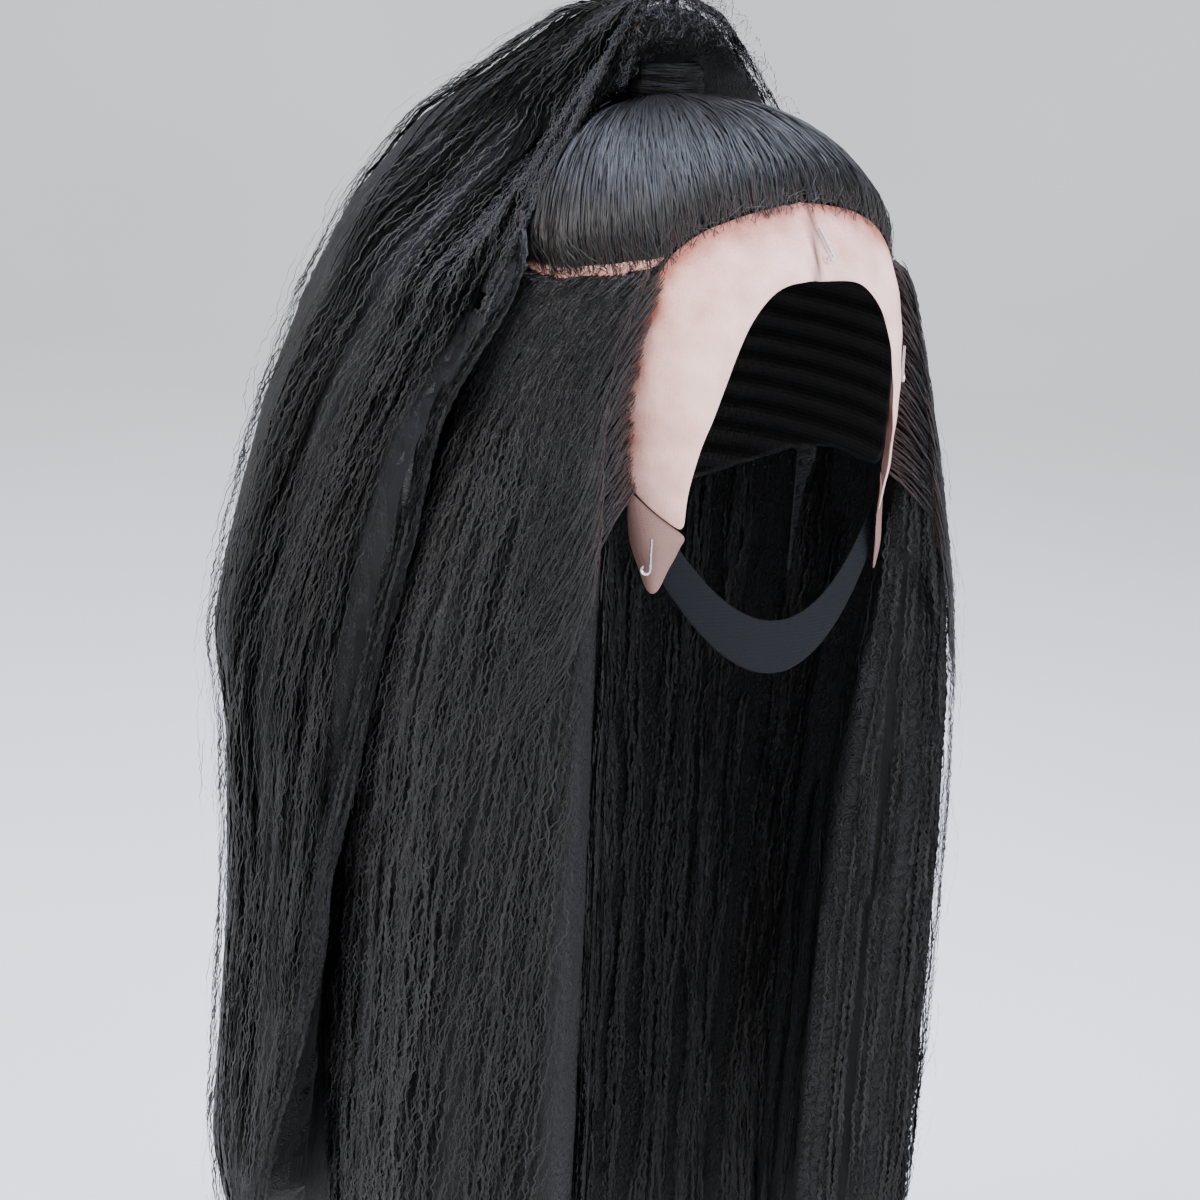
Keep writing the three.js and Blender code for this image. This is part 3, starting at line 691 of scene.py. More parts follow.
def rooted_strands(rng, roots, outer, across, down, slant, hair):
    """Fine hairs that rise from roots in the lace and lie down on the outer face of the
    hanging hair, each from its place across and down the grid."""
    count = len(roots)
    steps = 20
    run = even_runs(count, steps)
    length = rng.uniform(0.06, 0.14, (count, 1))
    lane = across[:, None] + slant * length / 0.1 * run + 0.006 * waves(rng, run, 6.0, 2)
    target = on_grid(outer, lane, down[:, None] + length * run)
    outward = unit(target - on_grid(outer[70:71].repeat(2, 0), 0 * run, down[:, None] + length * run))
    target = target + outward * (0.0006 + 0.001 * waves(rng, run, 9.0, 2))[..., None]
    blend = gentle(np.clip(run / 0.35, 0, 1))[..., None]
    points = roots[:, None] * (1 - blend) + target * blend
    points = points + outward * (0.002 * np.sin(math.pi * np.clip(run / 0.4, 0, 1)))[..., None]
    bend = zigzag(steps) * np.clip(run - 0.15, 0, 0.5)
    points = points + outward * (bend * rng.uniform(0, 0.0016, (count, 1)))[..., None]
    taper = np.clip((1 - run) / 0.3, 0.15, 1) * np.clip(0.35 + run / 0.2, 0.35, 1)
    width = 1.3 * hair.fine_width * rng.uniform(0.5, 1.2, (count, 1))
    return lay_strands(rng, points, outward, width, 0.4, taper)


def ribbon_piece(name, bundles, material):
    """Joins bundles of ribbons into one mesh. Each bundle is (ribbons, share of the strand
    that shows its root). Strands get a random tone; the bake map runs round and down."""
    rng = np.random.default_rng(len(name))
    corners = []
    faces = []
    flows = []
    tones = []
    roots = []
    start = 0
    for ribbons, root_share in bundles:
        strands, rows = ribbons.shape[:2]
        corners.append(ribbons.reshape(-1, 3))
        first = start + np.arange(strands)[:, None] * rows * 2 + np.arange(rows - 1)[None] * 2
        faces.append(np.stack([first, first + 1, first + 3, first + 2], axis=-1).reshape(-1, 4))
        middle = ribbons.mean(axis=2)
        steps = np.linalg.norm(np.diff(middle, axis=1), axis=2)
        down = np.concatenate([np.zeros((strands, 1)), np.cumsum(steps, axis=1)], axis=1)
        half = np.linalg.norm(ribbons[:, :, 0] - ribbons[:, :, 1], axis=2) / 2
        lane = rng.uniform(0, 3, (strands, 1))
        across = np.stack([lane - half, lane + half], axis=2)
        down = down[:, :, None].repeat(2, 2) + rng.uniform(0, 3, (strands, 1, 1))
        flows.append(np.stack([across, down, 0 * down], axis=-1).reshape(-1, 3))
        tone = rng.uniform(0, 1, (strands, 1, 1)).repeat(rows, 1).repeat(2, 2)
        tones.append(tone.reshape(-1))
        fade = np.clip(1 - np.linspace(0, 1, rows) / (root_share + 1e-6), 0, 1)
        roots.append(np.tile(fade.repeat(2), strands))
        start += strands * rows * 2
    corners = np.concatenate(corners)
    faces = np.concatenate(faces)
    mesh = bpy.data.meshes.new(name)
    mesh.vertices.add(len(corners))
    mesh.vertices.foreach_set("co", corners.astype(np.float32).reshape(-1))
    mesh.loops.add(faces.size)
    mesh.loops.foreach_set("vertex_index", faces.reshape(-1).astype(np.int32))
    mesh.polygons.add(len(faces))
    mesh.polygons.foreach_set("loop_start", np.arange(0, faces.size, 4, dtype=np.int32))
    mesh.update(calc_edges=True)
    for label, values in (("tone", tones), ("root", roots), ("flow", flows)):
        write_attribute(mesh, label, np.concatenate(values))
    turn = np.arctan2(corners[:, 0], -(corners[:, 1] - HEAD_CENTRE[1])) / (2 * math.pi) + 0.5
    height = (corners[:, 2] - CAD_LOW[2] + 0.02) / (CAD_HIGH[2] - CAD_LOW[2] + 0.04)
    bake = np.stack([turn, height], axis=1)[faces.reshape(-1)]
    mesh.uv_layers.new(name="OFBake").data.foreach_set("uv", bake.astype(np.float32).reshape(-1))
    mesh.materials.append(material)
    return new_object(name, mesh)


def copy_of(node, name):
    """A merged, selected copy of a CAD node in quads, for further work."""
    bpy.ops.object.select_all(action="DESELECT")
    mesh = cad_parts[node].data.copy()
    mesh.materials.clear()
    piece = new_object(name, mesh)
    bpy.context.view_layer.objects.active = piece
    piece.select_set(True)
    bpy.ops.object.mode_set(mode="EDIT")
    bpy.ops.mesh.select_all(action="SELECT")
    bpy.ops.mesh.remove_doubles(threshold=0.00001)
    bpy.ops.mesh.tris_convert_to_quads(face_threshold=0.9, shape_threshold=0.9)
    bpy.ops.object.mode_set(mode="OBJECT")
    return piece


def write_flow(piece, grids):
    """Writes where each point of a body lies in the hair, in metres across the strands and
    metres down them, from the nearest points of the probed grids."""
    places = np.concatenate([grid.reshape(-1, 3) for grid in grids])
    flows = []
    acrosses = []
    downs = []
    for grid in grids:
        pitch = np.linalg.norm(np.diff(grid, axis=0), axis=2).mean()
        steps = np.linalg.norm(np.diff(grid, axis=1), axis=2)
        down = np.concatenate([np.zeros((len(grid), 1)), np.cumsum(steps, axis=1)], axis=1)
        across = np.arange(len(grid))[:, None] * pitch * np.ones_like(down)
        flows.append(np.stack([across, down], axis=-1).reshape(-1, 2))
        acrosses.append((np.gradient(grid, axis=0) / pitch).reshape(-1, 3))
        pace = np.maximum(np.gradient(down, axis=1), 1e-4)
        downs.append((np.gradient(grid, axis=1) / pace[..., None]).reshape(-1, 3))
    tree = KDTree(len(places))
    for index, place in enumerate(places):
        tree.insert(place, index)
    tree.balance()
    corners = mesh_points(piece.data)
    nearest = np.array([tree.find(corner)[1] for corner in corners])
    offset = corners - places[nearest]
    shift = []
    for tangents in (acrosses, downs):
        tangent = np.concatenate(tangents)[nearest]
        square = np.maximum((tangent**2).sum(axis=1), 0.05)
        shift.append(np.clip((offset * tangent).sum(axis=1) / square, -0.008, 0.008))
    flow = np.concatenate(flows)[nearest] + np.stack(shift, axis=1)
    flow = np.concatenate([flow, np.zeros((len(flow), 1))], axis=1)
    write_attribute(piece.data, "flow", flow)


def add_core(node, name, inset, grain, grids, material):
    """A slimmer body under the locks of a hair node, so that no gap shows through."""
    piece = copy_of(node, name)
    remesh = piece.modifiers.new("Remesh", "REMESH")
    remesh.mode = "VOXEL"
    remesh.voxel_size = grain
    shrink = piece.modifiers.new("Shrink", "DISPLACE")
    shrink.mid_level = 0
    shrink.strength = -inset
    soften = piece.modifiers.new("Soften", "SMOOTH")
    soften.iterations = 4
    for modifier in ("Remesh", "Shrink", "Soften"):
        bpy.ops.object.modifier_apply(modifier=modifier)
    bpy.ops.object.shade_smooth()
    write_flow(piece, grids)
    piece.data.materials.append(material)
    return finish_piece(piece, node, slot="hair")


def hair_material(name, hair, crimp, shine, relief_depth):
    """Hair: fine strands drawn along the flow, which bend from side to side as far as the
    crimp says, in relief of a depth in metres. Painted shade darkens the gaps between the
    strands and between the locks. Strands of high tone turn brown in patches, and roots are
    redder."""
    material, tree, shader = new_material(name)
    parts = add_node(tree, "ShaderNodeSeparateXYZ", Vector=attribute(tree, "flow", "Vector"))
    across, down = parts.outputs["X"], parts.outputs["Y"]

    def drawn(sideways, lengthways, scale, detail):
        """Noise on the flow, drawn out along the strands."""
        along = math_node(tree, "MULTIPLY", down, lengthways)
        spot = add_node(tree, "ShaderNodeCombineXYZ", X=sideways, Y=along).outputs["Vector"]
        return noise(tree, spot, scale, detail)

    phase = math_node(tree, "MULTIPLY", drawn(across, 0.3, 330.0, 1.0), 16.0)
    turn = math_node(tree, "MULTIPLY_ADD", down, math.pi / hair.half_wave, phase)
    bend = math_node(tree, "SINE", turn)
    shifted = math_node(tree, "MULTIPLY_ADD", bend, crimp, across)
    strands = drawn(shifted, 0.16 if crimp else 0.02, 1700.0, 3.0)
    locks = drawn(shifted, 0.12 if crimp else 0.03, 260.0, 2.0)
    relief = math_node(tree, "MULTIPLY_ADD", bend, 80 * crimp, strands)
    relief = math_node(tree, "MULTIPLY_ADD", locks, 1.1 if crimp else 0.3, relief)
    set_relief(tree, shader, relief, 0.8, relief_depth)
    patches = noise(tree, object_place(tree), 11.0, 3.0)
    warmth = math_node(tree, "MULTIPLY", patches, attribute(tree, "tone"))
    warm = colour_ramp(tree, warmth, [(0.22, linear(hair.black)), (0.6, linear(hair.brown))])
    # Painted shade: the colour is darkened down to 0.15 in the gaps between strands and between locks
    shade = math_node(tree, "MULTIPLY", strands, locks)
    depth = colour_ramp(tree, shade, [(0.14, (0.15, 0.15, 0.15, 1)), (0.3, (1, 1, 1, 1))])
    plain = mixed(tree, 1.0, warm, depth, "MULTIPLY")
    feed(
        tree,
        shader,
        Base_Color=mixed(tree, attribute(tree, "root"), plain, linear(hair.root)),
        Roughness=0.54 if crimp else 0.42,
        Specular_IOR_Level=shine,
        IOR=1.5,
    )
    return material


def crimped_materials(name, hair):
    """Materials for crimped locks and, in deeper relief and with less shine as painted shade in the
    depth between the locks, for the core under them.
    """
    locks = hair_material(f"{name}_hair", hair, PAINTED_CRIMP, 0.4, STRAND_RELIEF)
    core = hair_material(f"{name}_depth", hair, PAINTED_CRIMP, 0.32, CORE_RELIEF)
    return locks, core


def lace_material(name, near_colour, far_colour, cloth):
    """Fine nylon net in a skin tone: matte, pitted by its holes, redder and dotted with
    knots near the hair, and darkened with painted shade in the crease of its pleat."""
    material, tree, shader = new_material(name)
    place = object_place(tree)
    near = attribute(tree, "near_hair")
    net = cells(tree, place, 1 / cloth.net_pitch, 0.25)
    patchy = math_node(tree, "MULTIPLY_ADD", noise(tree, place, 60.0, 5.0), 0.9, -0.3)
    redness = math_node(tree, "ADD", near, patchy)
    skin = colour_ramp(tree, redness, [(0.12, linear(far_colour)), (0.85, linear(near_colour))])
    knots = cells(tree, place, 620.0, 0.9)
    dots = colour_ramp(tree, knots, [(0.16, (1, 1, 1, 1)), (0.34, (0, 0, 0, 1))])
    dotted = math_node(tree, "MULTIPLY", dots, math_node(tree, "POWER", near, 1.6))
    marks = math_node(tree, "MULTIPLY", dotted, 0.75)
    # The crease of the pleat is painted shade, in the same dark colour as the knots
    marks = math_node(tree, "MAXIMUM", marks, attribute(tree, "crease"))
    marked = mixed(tree, marks, skin, linear("#5e332c"))
    pores = colour_ramp(tree, net, [(0.0, (0.8, 0.74, 0.72, 1)), (0.45, (1, 1, 1, 1))])
    set_relief(tree, shader, net, 0.35, 0.0003)
    feed(
        tree,
        shader,
        Base_Color=mixed(tree, 0.5, marked, pores, "MULTIPLY"),
        Roughness=0.62,
        Subsurface_Weight=0.2,
        Subsurface_Radius=(0.004, 0.002, 0.0015),
    )
    return material


def cap_material(cloth):
    """Black stretch mesh with rows of sewn weft: matte ridges with a fine net between."""
    material, tree, shader = new_material("stretch_cap")
    place = object_place(tree)
    rows = ridges(tree, place, cloth.weft_pitch, Distortion=0.6, Detail_Scale=4.0)
    net = cells(tree, place, 1 / (1.6 * cloth.net_pitch), 0.2)
    set_relief(tree, shader, math_node(tree, "MULTIPLY_ADD", rows, 3.0, net), 0.8, 0.0008)
    colour = colour_ramp(tree, rows, [(0.3, linear("#0c0b0b")), (0.9, linear("#201c1a"))])
    feed(tree, shader, Base_Color=colour, Roughness=0.8)
    return material


def band_material(cloth):
    """Woven elastic: fine ribs along its length, matte blue-black."""
    material, tree, shader = new_material("woven_elastic")
    place = object_place(tree)
    ribs = ridges(tree, place, cloth.rib_pitch, Distortion=0.2)
    height = math_node(tree, "ADD", ribs, noise(tree, place, 900.0, 2.0))
    set_relief(tree, shader, height, 0.5, 0.0004)
    colour = colour_ramp(tree, height, [(0.4, linear("#040609")), (1.0, linear(cloth.band))])
    feed(tree, shader, Base_Color=colour, Roughness=0.8, Specular_IOR_Level=0.25)
    return material


def steel_material():
    """Nickel-plated pin wire: bright, with faint drawing marks."""
    material, tree, shader = new_material("nickel_wire")
    marks = noise(tree, object_place(tree), 1500.0, 2.0)
    rough = add_node(tree, "ShaderNodeMapRange", Value=marks, To_Min=0.16, To_Max=0.34)
    plating = linear("#d6d8dc")
    feed(tree, shader, Base_Color=plating, Metallic=1.0, Roughness=rough.outputs["Result"])
    return material


def smooth_sheet(node, name, material, slot, levels=2):
    """A smooth copy of one of the thin CAD walls."""
    piece = copy_of(node, name)
    smooth = piece.modifiers.new("Smooth", "SUBSURF")
    smooth.levels = levels
    smooth.render_levels = levels
    bpy.ops.object.modifier_apply(modifier="Smooth")
    bpy.ops.object.shade_smooth()
    piece.data.materials.append(material)
    return finish_piece(piece, node, slot=slot)


class WIG_OT_cap(bpy.types.Operator):
    """Makes the stretch cap"""

    bl_idname = "wig.cap"
    bl_label = "Cap"

    def execute(self, context):
        cloth = context.scene.wig_cloth
        smooth_sheet("cap", "stretch_cap", cap_material(cloth), "cap_mesh", 1)
        return {"FINISHED"}


class WIG_OT_lace(bpy.types.Operator):
    """Makes the lace front and the ear tabs"""

    bl_idname = "wig.lace"
    bl_label = "Lace front and ear tabs"

    def execute(self, context):
        cloth = context.scene.wig_cloth
        skin = lace_material("lace_net", cloth.lace_root, cloth.lace, cloth)
        shaded = lace_material("lace_tab_net", cloth.tab, "#85635a", cloth)
        sheets = (
            ("lace_front", "lace_strip", skin),
            ("ear_tab_right", "lace_tab_right", shaded),
            ("ear_tab_left", "lace_tab_left", shaded),
        )
        edges = hairline_points()
        for node, name, material in sheets:
            piece = smooth_sheet(node, name, material, "lace")
            gather_lace(piece, edges)
        return {"FINISHED"}


def hairline_points():
    """Points along the front hairline and the front edges of the side hair."""
    points = [point for point in swept_grid()[:, SWEPT_EDGE_ROW] if point[1] < -0.03]
    for node in ("side_hair_right", "side_hair_left"):
        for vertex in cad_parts[node].data.vertices:
            if vertex.co.y < -0.04 and vertex.co.z > -0.19:
                points.append(np.array(vertex.co))
    return np.array(points)


def gather_lace(piece, edges):
    """Gathers the lace into a small pleat at the forehead pin, ripples it faintly, and
    writes onto it how near each point lies to the hair and where the painted shade of the pleat's crease
    lies."""
    low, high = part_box("lace_pin_middle")
    pin = np.array([(low.x + high.x) / 2, (low.y + high.y) / 2, (low.z + high.z) / 2])
    mesh = piece.data
    corners = mesh_points(mesh)
    outward = unit(corners - HEAD_CENTRE)
    beside = corners[:, 0] - (pin[0] - 0.0075 + 0.16 * (corners[:, 2] - pin[2]))
    front = (corners[:, 1] < -0.05) & (corners[:, 2] > -0.08)
    pleat = np.where(front, np.exp(-((beside / 0.0019) ** 2)), 0.0)
    pleat = pleat * np.clip((0.03 - np.abs(corners[:, 2] - pin[2])) / 0.02, 0, 1)
    ripple = 0.0003 * np.sin(corners[:, 2] * 260 + corners[:, 0] * 170)
    ripple = ripple * np.sin(corners[:, 0] * 210 - corners[:, 2] * 90)
    moved = corners + outward * (0.0022 * pleat + ripple)[:, None]
    mesh.vertices.foreach_set("co", moved.reshape(-1))
    gap = np.array([np.linalg.norm(edges - corner, axis=1).min() for corner in corners])
    # Where the lace is darkened with painted shade along the crease of the pleat
    crease = np.where(front, np.exp(-(((beside - 0.0024) / 0.0022) ** 2)), 0.0)
    crease = crease * np.clip((0.03 - np.abs(corners[:, 2] - pin[2])) / 0.02, 0, 1)
    write_attribute(mesh, "near_hair", np.exp(-gap / 0.013))
    write_attribute(mesh, "crease", crease)
    mesh.update()


class WIG_OT_band(bpy.types.Operator):
    """Makes the elastic band"""

    bl_idname = "wig.band"
    bl_label = "Elastic band"

    def execute(self, context):
        cloth = context.scene.wig_cloth
        smooth_sheet("elastic_band", "chin_elastic", band_material(cloth), "elastic")
        return {"FINISHED"}


class WIG_OT_pins(bpy.types.Operator):
    """Finishes the pins that hold the lace"""

    bl_idname = "wig.pins"
    bl_label = "Lace pins"

    def execute(self, context):
        steel = steel_material()
        for node in ("lace_pin_middle", "lace_pin_left", "tab_pin_right"):
            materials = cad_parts[node].data.materials
            materials.clear()
            materials.append(steel)
        return {"FINISHED"}


class WIG_OT_swept_hair(bpy.types.Operator):
    """Combs the smooth top section from the hairline up to the tie"""

    bl_idname = "wig.swept_hair"
    bl_label = "Swept-up hair"

    def execute(self, context):
        hair = context.scene.wig_hair
        rng = np.random.default_rng(11)
        grid = swept_grid()
        core = hair_material("swept_hair", hair, 0.0, 0.35, 0.0016)
        mass = add_core("swept_hair", "swept_mass", 0.0009, 0.0033, [grid], core)
        sink_under(mass, grid, 0.0007)
        strands = 2600
        steps = 13
        even = even_runs(strands, steps)
        across = rng.uniform(0, 1, (strands, 1)) + 0.0045 * waves(rng, even, 5.0, 2)
        edge = SWEPT_EDGE_ROW / (SWEPT_ROWS - 1)
        jagged = np.interp(across[:, :1] % 1.0, np.linspace(0, 1, 241), rng.uniform(0, 1, 241))
        root = edge - 0.11 * jagged * rng.uniform(0, 1, (strands, 1)) ** 2.0 + 0.006
        root = root + (1 - root) * 0.5 * (rng.uniform(0, 1, (strands, 1)) < 0.25)
        down = root + (1 - root) * even
        points = on_grid(grid, across % 1.0, down)
        outward = unit(points - HEAD_CENTRE)
        lift = rng.uniform(-0.0004, 0.0011, (strands, 1)) * np.clip((down - root) / 0.08, 0, 1)
        points = points + outward * (lift + 0.0002)[..., None]
        taper = np.clip((down - root) / 0.1, 0.3, 1) * np.ones((strands, 1))
        width = 1.25 * hair.fine_width * rng.uniform(0.6, 1.3, (strands, 1))
        ribbons = lay_strands(rng, points, outward, width, 0.5, taper)
        material = hair_material("combed_hair", hair, 0.0, 0.4, STRAND_RELIEF)
        piece = ribbon_piece("swept_strands", [(ribbons, 0.02)], material)
        finish_piece(piece, "swept_hair", slot="hair")
        add_parting(grid)
        add_baby_hairs(rng, grid, material)
        return {"FINISHED"}


def add_parting(grid):
    """The skin-coloured strip of lace that shows along the parting, on either side."""
    edge = grid[:, SWEPT_EDGE_ROW]
    away = unit(grid[:, SWEPT_EDGE_ROW - 1] - edge)
    outward = unit(edge - HEAD_CENTRE)
    azimuth = np.degrees(np.arctan2(edge[:, 0], HEAD_CENTRE[1] - edge[:, 1]))
    wide = np.interp(np.abs(azimuth), [43, 50, 60, 120], [0.0, 0.003, 0.0046, 0.003])
    wobble = 1 + 0.3 * np.sin(azimuth * 0.9) * np.sin(azimuth * 0.37)
    wide = (wide * wobble)[:, None]
    rows = [edge + outward * 0.0003 - away * 0.001, edge + away * wide + outward * 0.0006]
    corners = []
    faces = []
    for side in (-1, 1):
        columns = [index for index in range(len(edge)) if 43 < side * azimuth[index] < 150]
        for index in columns:
            if len(corners) % 2 == 0 and index - 1 in columns:
                last = len(corners) - 2
                faces.append((last, last + 1, last + 3, last + 2))
            corners += [rows[0][index], rows[1][index]]
    mesh = bpy.data.meshes.new("parting_lace")
    mesh.from_pydata([tuple(corner) for corner in corners], [], faces)
    write_attribute(mesh, "near_hair", np.tile([0.3, 0.55], len(corners) // 2))
    cloth = bpy.context.scene.wig_cloth
    mesh.materials.append(lace_material("parting_net", cloth.lace_root, cloth.lace, cloth))
    finish_piece(new_object("parting_lace", mesh), slot="lace")


def add_baby_hairs(rng, grid, material):
    """Short fine hairs that start in the lace just outside the hairline."""
    count = 900
    steps = 8
    run = even_runs(count, steps)
    edge = SWEPT_EDGE_ROW / (SWEPT_ROWS - 1)
    front = rng.uniform(-0.27, 0.27, (count, 1))
    start = edge - 0.1 * rng.uniform(0, 1, (count, 1)) ** 2
    down = start + rng.uniform(0.03, 0.16, (count, 1)) * run
    lean = rng.normal(0, 0.012, (count, 1))
    points = on_grid(grid, (front + lean * run**1.5) % 1.0, down)
    outward = unit(points - HEAD_CENTRE)
    arch = rng.uniform(0.0003, 0.0022, (count, 1)) * np.sin(math.pi * run)
    points = points + outward * (0.0002 + arch)[..., None]
    taper = np.clip((1 - run) / 0.5, 0.25, 1)
    width = 0.0003 * rng.uniform(0.6, 1.2, (count, 1))
    ribbons = lay_strands(rng, points, outward, width, 0.3, taper)
    piece = ribbon_piece("baby_hairs", [(ribbons, 0.25)], material)
    finish_piece(piece, slot="hair")


class WIG_OT_wrap(bpy.types.Operator):
    """Winds the strands round the tie"""

    bl_idname = "wig.wrap"
    bl_label = "Ponytail wrap"

    def execute(self, context):
        hair = context.scene.wig_hair
        rng = np.random.default_rng(5)
        low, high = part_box("ponytail_wrap")
        centre = np.array([(low.x + high.x) / 2, (low.y + high.y) / 2])
        radius = (high.x - low.x) / 2
        rounds = np.linspace(-math.pi, math.pi, 49)
        levels = np.linspace(low.z, high.z, 13)
        grid = np.array(
            [
                [(centre[0] + radius * math.sin(a), centre[1] - radius * math.cos(a), z) for a in rounds]
                for z in levels
            ]
        )
        # The wound hair shines little, as painted shade from the puff that overhangs the wrap
        material = hair_material("wound_hair", hair, 0.0, 0.15, STRAND_RELIEF)
        add_core("ponytail_wrap", "wrap_mass", 0.0006, 0.0015, [grid], material)
        strands = 260
        steps = 40
        run = even_runs(strands, steps)
        start = rng.uniform(0, 2 * math.pi, (strands, 1))
        turn = start + run * rng.uniform(1.3, 2.4, (strands, 1)) * math.pi
        share = rng.uniform(0, 1, (strands, 1)) + run * rng.uniform(-0.45, 0.45, (strands, 1))
        share = np.clip(share, 0.0, 1.0)
        top = high.z - 0.0006
        seat = low.z + 0.0035
        swell = 0.0012 * np.abs(np.sin(3 * math.pi * share))
        reach = radius - 0.0012 + swell + rng.uniform(-0.0004, 0.0008, (strands, 1))
        reach = reach - 0.0022 * np.abs(2 * share - 1) ** 4
        points = np.stack(
            [
                centre[0] + reach * np.sin(turn),
                centre[1] - reach * np.cos(turn),
                seat + (top - seat) * share,
            ],
            axis=-1,
        )
        outward = unit(np.stack([np.sin(turn), -np.cos(turn), 0 * turn], axis=-1))
        taper = np.clip(np.minimum(run, 1 - run) / 0.06, 0.1, 1)
        width = hair.fine_width * 1.4 * rng.uniform(0.7, 1.3, (strands, 1))
        ribbons = lay_strands(rng, points, outward, width, 0.4, taper)
        piece = ribbon_piece("wrap_strands", [(ribbons, 0.0)], material)
        finish_piece(piece, "ponytail_wrap", slot="hair")
        return {"FINISHED"}


class WIG_OT_ponytail(bpy.types.Operator):
    """Lets the crimped ponytail puff over and fall"""

    bl_idname = "wig.ponytail"
    bl_label = "Ponytail"

    def execute(self, context):
        hair = context.scene.wig_hair
        rng = np.random.default_rng(23)
        outer, inner, azimuths = ponytail_grids()
        material, shaded = crimped_materials("ponytail", hair)
        add_core("ponytail", "ponytail_mass", CORE_INSET, CORE_GRAIN, [outer, inner], shaded)
        lengths = np.linalg.norm(np.diff(outer, axis=1), axis=2).sum(axis=1)
        places = np.linspace(0, 1, len(lengths))
        back, front = np.interp([-165.0, -84.0], azimuths, places)
        # The piece, its span of the grid, the triangles of its locks and of those on its
        # front face, its fine loose hairs, and the slant of both
        parts = (
            ("ponytail_right", back, front, 68000, 26000, 1300, -0.02),
            ("ponytail_left", front, 1 + back, 56000, 9000, 900, 0.0),
        )
        for name, first, last, triangles, edge_triangles, fine_count, slant in parts:
            span = np.linspace(first, last, 200)
            crowding = np.interp(azimuths, FRONT_EDGE, (1.0, 2.4, 2.4, 1.0)) * lengths**0.5
            weight = np.cumsum(np.interp(span % 1.0, places, crowding))
            weight = weight / weight[-1]

            def plan(index):
                """One lock of this part."""
                start = 0.0 if index % 4 == 0 else rng.uniform(0.0, 0.5)
                centre = float(np.interp(rng.uniform(0, 1), weight, span)) % 1.0
                azimuth = np.interp(centre, places, azimuths)
                return {
                    **LOCK,
                    "centre": centre,
                    "half_width": 0.008,
                    "round": True,
                    "face": "out",
                    "start": start,
                    "end": rng.uniform(0.9, 1.0),
                    "slant": 0.0 if azimuth > FRONT_EDGE[0] else slant,
                    "sink": 0.0 if start == 0.0 else 0.007,
                }

            bundles = fill_with_locks(rng, outer, inner, triangles, plan, hair)
            face, behind = ponytail_edge(-1 if name == "ponytail_right" else 1)

            def edge_plan(index):
                """One lock on the upright front face of this part."""
                lock = plan(index)
                return {
                    **lock,
                    "centre": rng.uniform(0, 1),
                    "half_width": 0.2,
                    "round": False,
                    "slant": 0.0,
                    "layers": 0.0015,
                    "start": 0.9 * lock["start"],
                }

            bundles += fill_with_locks(rng, face, behind, edge_triangles, edge_plan, hair)
            fine = {
                **FINE_HAIRS,
                "count": fine_count,
                "span": (first, last),
                "rows": (0.0, 0.92),
                "slant": slant,
                "arch": 0.0022,
                "round": True,
            }
            patches = [fine, {**fine, "count": 420, "steps": 24, "arch": 0.013, "width": 0.45}]
            if name == "ponytail_left":
                long = {"count": 900, "rows": (0.0, 0.4), "length": (0.4, 0.9), "steps": 16}
                patches.append({**fine, **long})
            bundles += [(loose_hairs(rng, outer, patch, hair), 0.0) for patch in patches]
            finish_piece(ribbon_piece(name, bundles, material), "ponytail", slot="hair")
        return {"FINISHED"}


def lace_roots(rng, outer, front):
    """Roots of the side hair whose front edge lies at a place across the grid: along the
    parting, and down the lace before that edge. Each set is (roots, places across the grid,
    places down it)."""
    grid = swept_grid()
    edge = grid[:, SWEPT_EDGE_ROW]
    away = unit(grid[:, SWEPT_EDGE_ROW - 1] - edge)
    seat = edge + unit(edge - HEAD_CENTRE) * 0.0006
    inland = 1 if front == 0.0 else -1
    across = front + inland * 0.28 * rng.uniform(0, 1, 520) ** 1.4
    tops = on_grid(outer, across, 0 * across)
    nearest = np.array([np.argmin(np.linalg.norm(edge - top, axis=1)) for top in tops])
    step = rng.uniform(0.003, 0.0065, (len(nearest), 1))
    yield seat[nearest] + away[nearest] * step, across, 0 * across
    lace = cad_surface("lace_front")
    down = rng.uniform(0.0, 0.24, 520)
    across = front + inland * rng.uniform(0.0, 0.02, len(down))
    starts = on_grid(outer, np.full(len(down), front), down)
    roots = []
    for start in starts:
        azimuth = math.degrees(math.atan2(start[0], HEAD_CENTRE[1] - start[1]))
        direction = level_direction(azimuth + inland * rng.uniform(0.5, 5.0))
        met = probe_in(lace, axis_at(start[2]), direction, 0.3)
        roots.append(start if met is None else met + direction * 0.0002)
    yield np.array(roots), across, down + rng.uniform(0.015, 0.04, len(down))


